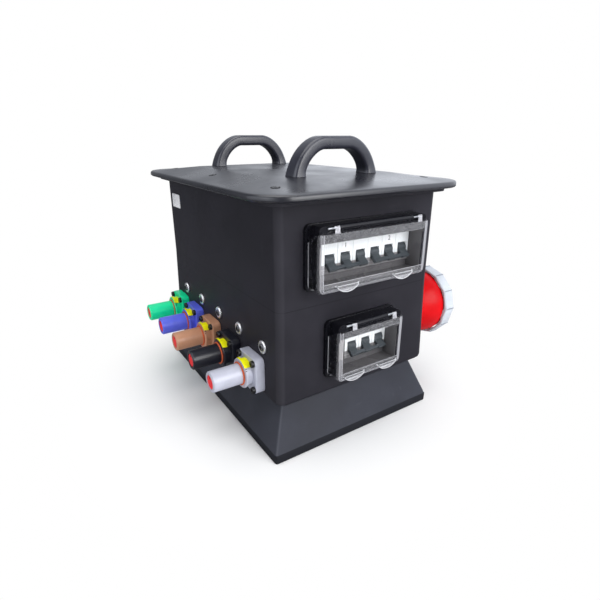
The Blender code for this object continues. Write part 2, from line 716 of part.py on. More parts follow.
def lug_outline(window):
    """Side outline of a hinge lug: a round eye whose front runs straight down into the pane."""
    centre_y, centre_z = window.y(BRIDGE_REACH), window.hinge_z
    points = []
    for step in range(LUG_EYE_STEPS + 1):
        angle = math.radians(LUG_EYE_DEG) * step / LUG_EYE_STEPS
        points.append((centre_y - LUG_RADIUS * math.cos(angle), centre_z + LUG_RADIUS * math.sin(angle)))
    web_z = centre_z - COVER_TOP_GAP - COVER_WALL
    return points + [(points[-1][0], web_z), (points[0][0], web_z)]


def build_blank(window):
    """The snap-in strip that fills the mask beside the breakers."""
    left = window.middle - window.inner + TOUCH
    right = window.row_left - TOUCH
    low = window.nose_z - NOSE_HEIGHT / 2 - WINDOW_SIDE_GAP + TOUCH
    high = window.nose_z + NOSE_HEIGHT / 2 + WINDOW_SIDE_GAP - TOUCH
    return add_object("blank_strip_" + window.name,
                      window.block(left, right, low, high, -FRAME_SKIRT, BLANK_PROUD - MASK_SET_BACK),
                      material("blank_" + window.name, (0.02, 0.02, 0.02), 0.5))


def breaker_outline(window):
    """Side outline of a breaker: nose, shoulders and back."""
    nose, tall = NOSE_HEIGHT / 2, BREAKER_HEIGHT / 2
    pairs = [(-EDGE, nose), (0, nose - EDGE), (0, -nose + EDGE), (-EDGE, -nose), (-NOSE_DEPTH, -nose),
             (-NOSE_DEPTH, -tall), (-BREAKER_DEPTH, -tall), (-BREAKER_DEPTH, tall), (-NOSE_DEPTH, tall),
             (-NOSE_DEPTH, nose)]
    return [(window.y(out), window.nose_z + up) for out, up in pairs]


def poles(left):
    """Middle of each pole of a breaker whose left side is at left."""
    return [left + (index + 0.5) * POLE_PITCH for index in range(POLES_PER_BREAKER)]


def build_breaker(window, number, left):
    """One breaker body: a stepped case with a recess for each rotor and a groove between poles."""
    right = left + POLES_PER_BREAKER * POLE_PITCH
    body = add_object("breaker_%d_body" % number,
                      prism_x(breaker_outline(window), left + BREAKER_GAP / 2, right - BREAKER_GAP / 2),
                      material("breaker_%d_case" % number, (0.8, 0.82, 0.82), 0.45))
    axis_y = window.y(-ROTOR_DEPTH)
    recess = ROTOR_RADIUS + RUN_CLEAR
    half = ROTOR_WIDTH / 2 + RUN_CLEAR
    droop = math.radians(PADDLE_DROOP_DEG)
    slot = ROTOR_DEPTH * math.tan(droop) + PADDLE_THICK / 2 / math.cos(droop) + RUN_CLEAR
    for x in poles(left):
        round_cut = [(x - half, recess), (x + half, recess)]
        cut(body, turned(round_cut, (0, axis_y, window.rotor_z), (1, 0, 0), ROTOR_SIDES))
        cut(body, window.block(x - half, x + half, window.rotor_z - slot, window.rotor_z + slot,
                               -ROTOR_SLOT_DEPTH, PAST))
    for index in range(1, POLES_PER_BREAKER):
        x = left + index * POLE_PITCH
        cut(body, window.block(x - POLE_GROOVE / 2, x + POLE_GROOVE / 2, window.nose_z - NOSE_HEIGHT,
                               window.nose_z + NOSE_HEIGHT, -POLE_GROOVE, PAST))
    return body


def build_toggles(window, number, left):
    """The linked toggles of one breaker: a rotor and a paddle for each pole and the tie bar across them."""
    axis_y, axis_z = window.y(-ROTOR_DEPTH), window.rotor_z
    droop = math.radians(PADDLE_DROOP_DEG)
    out = Vector((0, -math.cos(droop), -math.sin(droop)))
    up = Vector((0, -math.sin(droop), math.cos(droop)))
    pivot = Vector((0, axis_y, axis_z))
    middles = poles(left)
    half = ROTOR_WIDTH / 2

    def strip(x_low, x_high, near, far, thick, tip_thick):
        outline = [pivot + out * near - up * thick / 2, pivot + out * far - up * tip_thick / 2,
                   pivot + out * far + up * tip_thick / 2, pivot + out * near + up * thick / 2]
        return prism_x([(point.y, point.z) for point in outline], x_low, x_high)

    def rotor(x):
        ends = [(x - half, ROTOR_RADIUS), (x + half, ROTOR_RADIUS)]
        return turned(ends, pivot, (1, 0, 0), ROTOR_SIDES)

    first = middles[0]
    toggles = add_object("breaker_%d_toggles" % number, rotor(first),
                         material("toggle_%d_plastic" % number, (0.03, 0.035, 0.045), 0.4))
    bar_near = PADDLE_REACH - TIE_BAR_DEPTH
    join(toggles, strip(first - half + RUN_CLEAR, middles[-1] + half - RUN_CLEAR, bar_near, PADDLE_REACH,
                        TIE_BAR_HEIGHT, TIE_BAR_HEIGHT * PADDLE_TAPER))
    for x in middles:
        if x != first:
            join(toggles, rotor(x))
        join(toggles, strip(x - half + EDGE, x + half - EDGE, ROTOR_RADIUS / 2, PADDLE_REACH + EDGE,
                            PADDLE_THICK, PADDLE_THICK * PADDLE_TAPER))
    return place_origin(toggles, pivot)


def build_rail(window):
    """A top-hat rail held to the inside of the wall by a bent bracket at each end."""
    hat, depth = RAIL_HEIGHT / 2, RAIL_DEPTH
    web = hat - RAIL_BRIM
    front = -BREAKER_DEPTH - TOUCH
    sheet = RAIL_SHEET
    pairs = [(0, hat), (0, web - sheet), (-depth + sheet, web - sheet), (-depth + sheet, -web + sheet),
             (0, -web + sheet), (0, -hat), (-sheet, -hat), (-sheet, -web), (-depth, -web), (-depth, web),
             (-sheet, web), (-sheet, hat)]
    outline = [(window.y(front + out), window.nose_z + up) for out, up in pairs]
    half = window.collar + 2 * RUN_CLEAR + 2 * BRACKET_SHEET
    rail = add_object("din_rail_" + window.name, prism_x(outline, *window.sides(half)),
                      material("rail_" + window.name, (0.55, 0.56, 0.57), 0.35, 1.0))
    wall_y = -(BODY_DEPTH / 2 + lean(window.nose_z + hat) - BODY_WALL) + TOUCH
    back_y = window.y(front - depth)
    low, high = window.nose_z - hat, window.nose_z + hat
    for side in (-1, 1):
        xs = sorted((side * half, side * (half - BRACKET_SHEET)))
        join(rail, box((window.middle + xs[0], wall_y, low), (window.middle + xs[1], back_y, high)))
        xs = sorted((side * (half - BRACKET_SHEET / 2), side * (half + BRACKET_FOOT)))
        join(rail, box((window.middle + xs[0], wall_y, low),
                       (window.middle + xs[1], wall_y + BRACKET_SHEET, high)))
    return rail


def build_connector(colour, index, y, tint):
    """One single-pole connector: flanged housing, barrel with its rear tail, seal ring and finger guard."""
    name = "connector_%d_%s" % (index + 1, colour)
    seat = (-CONNECTOR_SEAT - TOUCH, y, CONNECTOR_Z)
    outwards = (-1, 0, 0)
    half = CONNECTOR_FLANGE / 2
    flange = rounded_rectangle(half, half, CONNECTOR_FLANGE_CORNER, EDGE_STEPS)
    eased = rounded_rectangle(half - EDGE, half - EDGE, CONNECTOR_FLANGE_CORNER, EDGE_STEPS)
    face = CONNECTOR_FLANGE_THICK

    def round_form(profile, hollow=False):
        return turned(profile, seat, outwards, CONNECTOR_SIDES, hollow)

    def at(outline, out):
        return [(seat[0] - out, y + a, CONNECTOR_Z + b) for a, b in outline]

    housing = add_object(name + "_housing", skin([at(flange, 0), at(flange, face - EDGE), at(eased, face)]),
                         material(colour + "_housing", tint, 0.4))
    rim_end = face + COLLAR_LENGTH + RIM_LENGTH
    collar = [(face - 2 * EDGE, COLLAR_RADIUS), (face + COLLAR_LENGTH, COLLAR_RADIUS),
              (face + COLLAR_LENGTH, RIM_RADIUS), (rim_end - EDGE, RIM_RADIUS), (rim_end, RIM_RADIUS - EDGE)]
    join(housing, round_form(collar))
    bore = BARREL_OUTER + TOUCH
    cut(housing, round_form([(-PAST, bore), (rim_end + PAST, bore)]))

    tip = CONNECTOR_REACH
    guard_bore = GUARD_RADIUS + TOUCH
    pocket_floor = tip - GUARD_DEPTH - GUARD_SET_BACK - TOUCH
    barrel = [(-SPIGOT_LENGTH - TAIL_LENGTH, TAIL_RADIUS), (-SPIGOT_LENGTH, TAIL_RADIUS),
              (-SPIGOT_LENGTH, BARREL_OUTER), (tip - BARREL_EDGE, BARREL_OUTER),
              (tip, BARREL_OUTER - BARREL_EDGE), (tip, guard_bore), (pocket_floor, guard_bore)]
    add_object(name + "_barrel", round_form(barrel), material(colour + "_barrel", tint, 0.35))

    seal_start = rim_end + TOUCH
    middle = (SEAL_RADIUS + bore) / 2
    seal = [(seal_start, bore), (seal_start, SEAL_RADIUS), (seal_start + SEAL_LENGTH, middle),
            (seal_start + SEAL_LENGTH, bore)]
    add_object(name + "_seal", round_form(seal, hollow=True),
               material(colour + "_seal", (0.75, 0.2, 0.04), 0.5))

    guard_end = tip - GUARD_SET_BACK
    guard = [(guard_end - GUARD_DEPTH, GUARD_RADIUS), (guard_end - EDGE, GUARD_RADIUS),
             (guard_end, GUARD_RADIUS - EDGE)]
    add_object(name + "_guard", round_form(guard), material(colour + "_guard", (0.8, 0.02, 0.02), 0.35))


def build_wall_bolt(index, y):
    """A flanged socket bolt through the side wall."""
    place = (-WALL_BOLT_SEAT - TOUCH, y, WALL_BOLT_Z)
    flange, head, thick = WALL_BOLT_FLANGE, WALL_BOLT_HEAD, WALL_BOLT_FLANGE_THICK
    top = thick + WALL_BOLT_HEAD_HEIGHT
    profile = [(-WALL_BOLT_LENGTH, WALL_BOLT_SHANK), (0, WALL_BOLT_SHANK), (0, flange),
               (thick, flange - EDGE), (thick, head), (top, head - EDGE / 2),
               (top, WALL_BOLT_SOCKET), (top - WALL_BOLT_SOCKET_DEPTH, WALL_BOLT_SOCKET)]
    return add_object("wall_bolt_%d" % index, turned(profile, place, (-1, 0, 0), BOLT_SIDES),
                      material("wall_bolt_%d_steel" % index, (0.7, 0.7, 0.72), 0.3, 1.0))


def build_inlet_housing(seat):
    """The inlet's red housing: square flange, flared neck and the shroud round the pins."""
    flange = rounded_rectangle(INLET_FLANGE / 2, INLET_FLANGE / 2, INLET_FLANGE_CORNER, EDGE_STEPS)
    thick = INLET_FLANGE_THICK

    def at(outline, out):
        return [(seat[0] + out, INLET_Y + a, INLET_Z + b) for a, b in outline]

    housing = add_object("inlet_housing", skin([at(flange, 0), at(flange, thick)]),
                         material("inlet_red", (0.75, 0.01, 0.01), 0.3))
    start = INLET_RING_START
    cavity = INLET_SHROUD - INLET_SHROUD_WALL
    neck = [(-INLET_REAR_LENGTH, INLET_REAR_RADIUS), (thick / 2, INLET_REAR_RADIUS), (thick / 2, INLET_NECK),
            (thick + INLET_FLARE_LEAD, INLET_NECK)]
    flare_start, flare_end = thick + INLET_FLARE_LEAD, start - INLET_FLARE_LAND
    flare_top = INLET_SHROUD + INLET_FLARE_STEP
    for step in range(1, INLET_FLARE_RINGS + 1):
        share = step / INLET_FLARE_RINGS
        bulge = math.sin(math.radians(90) * share)
        out = flare_start + (flare_end - flare_start) * share
        neck.append((out, INLET_NECK + (flare_top - INLET_NECK) * bulge))
    neck += [(start - EDGE, flare_top), (start - EDGE, INLET_SHROUD), (INLET_SHROUD_END - EDGE, INLET_SHROUD),
             (INLET_SHROUD_END, INLET_SHROUD - EDGE), (INLET_SHROUD_END, cavity),
             (INLET_SHROUD_END - INLET_CAVITY_DEPTH, cavity)]
    join(housing, turned(neck, seat, (1, 0, 0), INLET_SIDES))
    return housing


def pin_places():
    """Angle and radius of each pin, the earth pin straight down."""
    radii = [INLET_EARTH_RADIUS] + [INLET_PIN_RADIUS] * (INLET_PINS - 1)
    return [(math.radians(-90 + 360 * index / INLET_PINS), radius) for index, radius in enumerate(radii)]


def build_inlet(seat):
    """The inlet's carrier, pins and lock ring."""
    floor = INLET_SHROUD_END - INLET_CAVITY_DEPTH + TOUCH
    cavity = INLET_SHROUD - INLET_SHROUD_WALL - TOUCH
    top = floor + INLET_INSERT_THICK
    carrier = [(floor, cavity), (top - EDGE, cavity), (top, cavity - EDGE)]
    add_object("inlet_carrier", turned(carrier, seat, (1, 0, 0), INLET_SIDES),
               material("carrier_black", (0.02, 0.02, 0.02), 0.5))
    face = top + TOUCH
    for number, (angle, radius) in enumerate(pin_places(), 1):
        foot = (seat[0], INLET_Y + INLET_PIN_CIRCLE * math.cos(angle),
                INLET_Z + INLET_PIN_CIRCLE * math.sin(angle))
        end = INLET_SHROUD_END - INLET_PIN_RECESS
        pin = [(face, radius), (end - INLET_PIN_NOSE, radius), (end, radius - INLET_PIN_NOSE)]
        add_object("inlet_pin_%d" % number, turned(pin, foot, (1, 0, 0), INLET_PIN_SIDES),
                   material("pin_%d_nickel" % number, (0.7, 0.68, 0.62), 0.25, 1.0))


def ring_radius(step, corner):
    """Radius of the ring's polygon at one of its evenly spaced stations."""
    half_side = math.pi / INLET_RING_SIDES
    angle = 2 * half_side * step / INLET_RING_STATIONS
    local = angle % (2 * half_side) - half_side
    return corner * math.cos(half_side) / math.cos(local)


def build_lock_ring(seat):
    """The lock ring: twelve flats outside, and inward lugs at the rear that ride on the shroud."""
    count = INLET_RING_SIDES * INLET_RING_STATIONS
    corner = INLET_RING_CORNER_RADIUS
    start, end = INLET_RING_START, INLET_RING_START + INLET_RING_WIDTH
    ride = INLET_SHROUD + RUN_CLEAR
    lug_end = start + INLET_LUG_LENGTH

    def loop(out, radius_of):
        points = []
        for step in range(count):
            angle = 2 * math.pi * step / count
            side, rise = radius_of(step) * math.cos(angle), radius_of(step) * math.sin(angle)
            points.append((seat[0] + out, INLET_Y + side, INLET_Z + rise))
        return points

    def outside(step):
        return ring_radius(step, corner)

    def eased(step):
        return ring_radius(step, corner - RING_EDGE)

    def bore(step):
        return INLET_RING_BORE

    def lugs(step):
        side, station = divmod(step, INLET_RING_STATIONS)
        return ride if station in (1, 2) and side % 2 == 0 else INLET_RING_BORE

    loops = [loop(start, eased), loop(start + RING_EDGE, outside), loop(end - RING_EDGE, outside),
             loop(end, eased), loop(end, bore), loop(lug_end, bore), loop(lug_end, lugs), loop(start, lugs)]
    ring = skin(loops, hollow=True)
    bmesh.ops.remove_doubles(ring, verts=ring.verts, dist=WELD)
    made = add_object("inlet_lock_ring", ring, material("ring_grey", (0.72, 0.73, 0.76), 0.4))
    return place_origin(made, (seat[0] + start, INLET_Y, INLET_Z))


def clear_scene():
    """Remove what the scene holds at the start."""
    for old in list(bpy.data.objects):
        bpy.data.objects.remove(old)


def main():
    """Build every sub-part."""
    clear_scene()
    build_base()
    build_body()
    build_gasket()
    build_lid()
    handle_y = BODY_DEPTH / 2 + LID_OVERHANG - PLATEAU_INSET_Y - HANDLE_MARGIN - GRIP_WIDTH / 2
    build_handle("handle_front", -handle_y)
    build_handle("handle_rear", handle_y)
    number = 0
    for window in WINDOWS:
        build_frame(window)
        build_hinge_pin(window)
        build_cover(window)
        build_blank(window)
        build_rail(window)
        for index in range(window.breakers):
            number += 1
            left = window.row_left + index * POLES_PER_BREAKER * POLE_PITCH
            build_breaker(window, number, left)
            build_toggles(window, number, left)
    tints = {"grey": (0.55, 0.56, 0.58), "black": (0.012, 0.012, 0.014), "brown": (0.26, 0.11, 0.05),
             "blue": (0.04, 0.05, 0.45), "green": (0.0, 0.42, 0.12)}
    for index, y in enumerate(connector_places()):
        colour = CONNECTOR_COLOURS[index]
        build_connector(colour, index, y, tints[colour])
        build_wall_bolt(index + 1, y + WALL_BOLT_SHIFT)
    seat = (INLET_SEAT + TOUCH, INLET_Y, INLET_Z)
    build_inlet_housing(seat)
    build_inlet(seat)
    build_lock_ring(seat)


main()
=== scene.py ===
"""Looks of the power distribution box: finishes, small fittings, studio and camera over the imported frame."""
import logging
import math
from dataclasses import dataclass, replace
from enum import Enum
from functools import lru_cache, reduce
from typing import Dict, List, NamedTuple, Optional, Sequence, Tuple, Union

import bmesh
import bpy
from mathutils import Matrix, Vector
from mathutils.bvhtree import BVHTree


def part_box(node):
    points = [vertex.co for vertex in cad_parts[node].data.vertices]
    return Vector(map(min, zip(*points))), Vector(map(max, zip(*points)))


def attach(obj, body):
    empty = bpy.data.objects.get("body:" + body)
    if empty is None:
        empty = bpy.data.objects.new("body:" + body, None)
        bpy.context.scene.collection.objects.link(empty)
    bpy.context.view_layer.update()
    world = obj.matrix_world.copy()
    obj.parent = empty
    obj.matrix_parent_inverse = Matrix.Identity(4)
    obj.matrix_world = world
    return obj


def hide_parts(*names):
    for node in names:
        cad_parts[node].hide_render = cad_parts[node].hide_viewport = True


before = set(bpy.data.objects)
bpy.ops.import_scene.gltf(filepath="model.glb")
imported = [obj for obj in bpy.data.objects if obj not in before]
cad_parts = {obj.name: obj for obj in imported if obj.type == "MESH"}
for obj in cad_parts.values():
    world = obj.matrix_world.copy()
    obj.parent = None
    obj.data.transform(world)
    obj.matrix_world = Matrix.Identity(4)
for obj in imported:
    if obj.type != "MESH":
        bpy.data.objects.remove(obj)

Triple = Tuple[float, float, float]
Shade = Tuple[float, float, float, float]
Pair = Tuple[float, float]
log = logging.getLogger("power_box")
Socket = bpy.types.NodeSocket
Material = bpy.types.Material
Holder = Union[Material, bpy.types.World]
MM = 1000.0
LEFT, RIGHT, FORWARD = Vector((-1.0, 0.0, 0.0)), Vector((1.0, 0.0, 0.0)), Vector((0.0, -1.0, 0.0))
SQUARE_CORNERS = ((-1, 1), (1, 1), (1, -1), (-1, -1))


def from_screen(red: float, green: float, blue: float) -> Triple:
    """Turn a screen colour of 0 to 255 into the linear colour that a shader takes."""
    shares = (value / 255.0 for value in (red, green, blue))
    return tuple(share / 12.92 if share <= 0.04045 else ((share + 0.055) / 1.055) ** 2.4 for share in shares)


def toned(colour: Triple, share: float, added: float = 0.0) -> Triple:
    """Give a colour times a share plus an amount, kept at 1 or below."""
    return tuple(min(1.0, part * share + added) for part in colour)


class Wire:
    """A number that changes over a surface. Arithmetic on it adds the Math nodes it needs."""

    def __init__(self, graph: "Graph", socket: Socket) -> None:
        """Hold the graph and the socket that gives the number."""
        self.graph = graph
        self.socket = socket

    def _math(self, operation: str, first: "Value", second: "Value" = 0.0) -> "Wire":
        """Add one Math node and give its result."""
        made = self.graph.node("Math", {"operation": operation}, {0: first, 1: second})
        return Wire(self.graph, made.outputs[0])

    def __add__(self, other: "Value") -> "Wire":
        """Add a value."""
        return self._math("ADD", self, other)

    def __sub__(self, other: "Value") -> "Wire":
        """Take a value away."""
        return self._math("SUBTRACT", self, other)

    def __rsub__(self, other: "Value") -> "Wire":
        """Take this away from a value."""
        return self._math("SUBTRACT", other, self)

    def __mul__(self, other: "Value") -> "Wire":
        """Multiply by a value."""
        return self._math("MULTIPLY", self, other)

    __radd__ = __add__
    __rmul__ = __mul__

    def __abs__(self) -> "Wire":
        """Give the size without its sign."""
        return self._math("ABSOLUTE", self)

    def highest(self, *others: "Value") -> "Wire":
        """Give the largest of this and the others."""
        return reduce(lambda made, other: self._math("MAXIMUM", made, other), others, self)

    def lowest(self, *others: "Value") -> "Wire":
        """Give the smallest of this and the others."""
        return reduce(lambda made, other: self._math("MINIMUM", made, other), others, self)

    def power(self, exponent: float) -> "Wire":
        """Raise this to a power."""
        return self._math("POWER", self, exponent)

    def wave(self) -> "Wire":
        """Give the sine of this, in radians."""
        return self._math("SINE", self)

    def step(self, start: float, end: float) -> "Wire":
        """Give a mask that goes smoothly from 0 at the start to 1 at the end, either of them the larger."""
        made = self.graph.node("MapRange", {"interpolation_type": "SMOOTHSTEP"},
                               {"Value": self, "From Min": min(start, end), "From Max": max(start, end),
                                "To Min": float(start > end), "To Max": float(start < end)})
        return Wire(self.graph, made.outputs[0])

    def near(self, centre: float, outer: float, inner: float) -> "Wire":
        """Give 1 within the inner distance of a centre, falling to 0 at the outer distance."""
        return abs(self - centre).step(outer, inner)

    def crossed(self, other: "Wire", turns: float) -> "Wire":
        """Give a pattern of 0 to 1 where waves of this and of another cross."""
        return (self * turns).wave() * (other * turns).wave() * 0.5 + 0.5

    def between(self, ends: Pair, soft: float = 0.3) -> "Wire":
        """Give 1 between two ends and 0 beyond them, with this much softness."""
        return self.step(ends[0] - soft, ends[0] + soft) * self.step(ends[1] + soft, ends[1] - soft)


Value = Union[Wire, float, int, Tuple[float, ...], Socket]


class Graph:
    """The node tree of one material or of the world, measured in millimetres of the box's own frame."""

    def __init__(self, holder: Holder) -> None:
        """Empty the holder's node tree."""
        holder.use_nodes = True
        self.holder = holder
        self.tree = holder.node_tree
        self.tree.nodes.clear()
        place = self.node("TexCoord").outputs["Object"]
        grown = self.node("VectorMath", {"operation": "SCALE"}, {"Vector": place, "Scale": MM})
        self.place = grown.outputs["Vector"]

    @classmethod
    def named(cls, name: str) -> "Graph":
        """Start an empty material of this name."""
        return cls(bpy.data.materials.new(name))

    def node(self, kind: str, settings: Optional[Dict[str, object]] = None,
             inputs: Optional[Dict[Union[str, int], "Value"]] = None) -> bpy.types.Node:
        """Add one node.

        Args:
            kind: Blender's name of the node's type, without ShaderNode.
            settings: Its settings, set first.
            inputs: Values or links of its sockets.

        Returns:
            The new node.
        """
        made = self.tree.nodes.new("ShaderNode" + kind)
        for key, value in (settings or {}).items():
            setattr(made, key, value)
        for key, value in (inputs or {}).items():
            source = value.socket if isinstance(value, Wire) else value
            if isinstance(source, Socket):
                self.tree.links.new(source, made.inputs[key])
            else:
                made.inputs[key].default_value = source
        return made

    def split(self, vector: Socket) -> Tuple[Wire, Wire, Wire]:
        """Give the three parts of a vector."""
        parts = self.node("SeparateXYZ", inputs={0: vector}).outputs
        return Wire(self, parts[0]), Wire(self, parts[1]), Wire(self, parts[2])

    def axes(self) -> Tuple[Wire, Wire, Wire]:
        """Give X, Y and Z in millimetres."""
        return self.split(self.place)

    def noise(self, size: float, detail: float = 3.0, stretch: Triple = (1.0, 1.0, 1.0)) -> Wire:
        """Give soft noise about 0.5 of this width in millimetres, longer along each axis by its stretch."""
        scale = tuple(1.0 / (size * share) for share in stretch)
        moved = self.node("VectorMath", {"operation": "MULTIPLY"}, {0: self.place, 1: scale}).outputs[0]
        made = self.node("TexNoise", inputs={"Vector": moved, "Scale": 1.0, "Detail": detail})
        return Wire(self, made.outputs[0])

    def blend(self, mask: Value, first: Value, second: Value) -> Socket:
        """Mix two linear colours or sockets: a mask of 0 gives the first and 1 the second."""
        pair = [(*value, 1.0) if isinstance(value, tuple) else value for value in (first, second)]
        # The Mix node keeps its colours in inputs 6 and 7 and output 2
        return self.node("Mix", {"data_type": "RGBA"}, {0: mask, 6: pair[0], 7: pair[1]}).outputs[2]

    def soft_edge(self, radius: float) -> Tuple[Socket, Wire]:
        """Round the edges in the shading.

        Args:
            radius: Radius of the rounding in millimetres.

        Returns:
            The rounded normal, and a mask that is 0 on flats and rises on edges.
        """
        rounded = self.node("Bevel", {"samples": 4}, {"Radius": radius / MM}).outputs[0]
        plain = self.node("NewGeometry").outputs["Normal"]
        match = self.node("VectorMath", {"operation": "DOT_PRODUCT"}, {0: rounded, 1: plain})
        return rounded, (1.0 - Wire(self, match.outputs["Value"])).step(0.02, 0.25)

    def bump(self, height: Wire, depth: float, normal: Optional[Socket] = None) -> Socket:
        """Turn a height into a normal; a height of 1 stands for this many millimetres."""
        start = {} if normal is None else {"Normal": normal}
        inputs = {"Strength": 1.0, "Distance": depth / MM, "Height": height, **start}
        return self.node("Bump", inputs=inputs).outputs[0]

    def seen(self) -> Wire:
        """Give 1 where the surface is seen, straight or through clear plastic, and 0 where it lights."""
        rays = self.node("LightPath").outputs
        return Wire(self, rays["Is Camera Ray"]).highest(Wire(self, rays["Is Transmission Ray"]))

    def mirrored(self) -> Wire:
        """Give 1 where the surface is seen as a reflection."""
        return Wire(self, self.node("LightPath").outputs["Is Glossy Ray"])

    def shader(self, kind: str, inputs: Dict[Union[str, int], Value]) -> Socket:
        """Add a shader, such as BsdfDiffuse, and give its output."""
        return self.node(kind, inputs=inputs).outputs[0]

    def mixed(self, mask: Value, first: Socket, second: Socket) -> Socket:
        """Mix two shaders: a mask of 0 gives the first and 1 the second."""
        return self.shader("MixShader", {0: mask, 1: first, 2: second})

    def finish(self, shader: Socket) -> Holder:
        """Join a shader to the output and give the material or world."""
        kind = "World" if isinstance(self.holder, bpy.types.World) else "Material"
        self.node("Output" + kind, inputs={"Surface": shader})
        return self.holder


@dataclass(frozen=True)
class Moulded:
    """Rubber or plastic from a mould: fine grain, slow mottling, scuffs, and edges rubbed paler.

    Gloss is roughness and specular, grain is width and depth, mottle is share and width, and wear is the
    radius and share of rubbed edges and the share of scuffs. Corner highlight is the share of a painted
    highlight on the rounded upright corners. The crease is the height of a thin line of painted shade, foot
    shade the height below which painted shade darkens the moulding, and inside is the X and Z that a paler
    colour fills.
    Lengths are in millimetres.
    """

    name: str
    colour: Triple
    gloss: Pair
    grain: Pair
    mottle: Pair = (0.25, 55.0)
    wear: Triple = (0.5, 0.15, 0.0)
    corner_highlight: float = 0.0
    coat: float = 0.0
    crease: Optional[float] = None
    foot_shade: Optional[float] = None
    inside: Optional[Tuple[Pair, Pair]] = None
    inside_colour: Triple = (0.13, 0.125, 0.13)

    def make(self) -> Material:
        """Build the material."""
        graph = Graph.named(self.name)
        x, _, z = graph.axes()
        (width, depth), (share, patch), (radius, edge_wear, scuffed) = self.grain, self.mottle, self.wear
        rounded, edges = graph.soft_edge(radius)
        fine = graph.noise(patch / 9.0)
        tone = graph.noise(patch, 4.0).step(0.3, 0.7) * 0.7 + fine * 0.3
        level = graph.noise(9.0, 5.0, (6.0, 1.0, 1.0)).step(0.62, 0.72) * graph.noise(70.0).step(0.45, 0.62)
        upright = graph.noise(8.0, 5.0, (1.0, 1.0, 7.0)).step(0.63, 0.73) * graph.noise(80.0).step(0.5, 0.65)
        scuffs = level.highest(upright)
        rubbed = toned(self.colour, 1.6, 0.02)
        colour = graph.blend(tone, toned(self.colour, 1.0 - share), toned(self.colour, 1.0 + share))
        colour = graph.blend(scuffs * scuffed, colour, rubbed)
        colour = graph.blend(edges * (0.4 + 0.6 * fine) * edge_wear, colour, rubbed)
        # A thin darker line at the crease height: painted shade where the moulded surface bends.
        if self.crease is not None:
            line = z.near(self.crease, 1.1, 0.3) * (0.3 + 0.5 * fine)
            colour = graph.blend(line, colour, toned(self.colour, 0.45))
        # Rounded upright corners, found by the normal, take the paler rubbed tone: a painted highlight where
        # they catch the light.
        if self.corner_highlight > 0.0:
            out_x, out_y, _ = graph.split(graph.node("NewGeometry").outputs["Normal"])
            colour = graph.blend(abs(out_x * out_y).step(0.1, 0.36) * self.corner_highlight, colour, rubbed)
        # Below the foot height the colour darkens: painted shade on the upright foot under the sloping face.
        if self.foot_shade is not None:
            below = z.step(self.foot_shade + 0.6, self.foot_shade - 0.6)
            colour = graph.blend(below, colour, toned(self.colour, 0.4))
        if self.inside is not None:
            within = x.between(self.inside[0]) * z.between(self.inside[1])
            colour = graph.blend(within, colour, self.inside_colour)
        rough = self.gloss[0] + (tone - 0.5) * 0.16 + scuffs * (0.25 * scuffed) - edges * 0.05
        cells = graph.node("TexVoronoi", inputs={"Vector": graph.place, "Scale": 1.0 / (width * 2.2)})
        grain = graph.noise(width, 2.0) * 0.7 + Wire(graph, cells.outputs["Distance"]) * 0.3
        return graph.finish(graph.shader("BsdfPrincipled", {
            "Base Color": colour, "Roughness": rough.lowest(1.0), "Specular IOR Level": self.gloss[1],
            "Coat Weight": self.coat, "Coat Roughness": 0.12, "Normal": graph.bump(grain, depth, rounded)}))


@dataclass(frozen=True)
class Metal:
    """Plated or brushed metal with fine marks and a little tarnish."""

    name: str
    colour: Triple
    roughness: float
    brush: Triple
    tarnish: float = 0.25
    edge: float = 0.3

    def make(self) -> Material:
        """Build the material."""
        graph = Graph.named(self.name)
        rounded, edges = graph.soft_edge(self.edge)
        stain = graph.noise(6.0, 4.0).step(0.35, 0.75)
        lines = graph.noise(0.35, 3.0, self.brush)
        colour = graph.blend(stain * self.tarnish, self.colour, toned(self.colour, 0.55))
        return graph.finish(graph.shader("BsdfPrincipled", {
            "Base Color": graph.blend(edges * 0.5, colour, toned(self.colour, 1.15)), "Metallic": 1.0,
            "Roughness": self.roughness + stain * 0.18 + lines * 0.1 - 0.05,
            "Normal": graph.bump(lines, 0.008, rounded)}))


class CoverMap(NamedTuple):
    """Where the points of a window cover are, in millimetres, with the masks that its patterns share."""

    x: Wire
    z: Wire
    aside: Wire
    across_in: Wire
    up_in: Wire
    rim_in: Wire
    deep: Wire
    face: Wire
    right_half: Wire
    wear_and_sheen: Wire


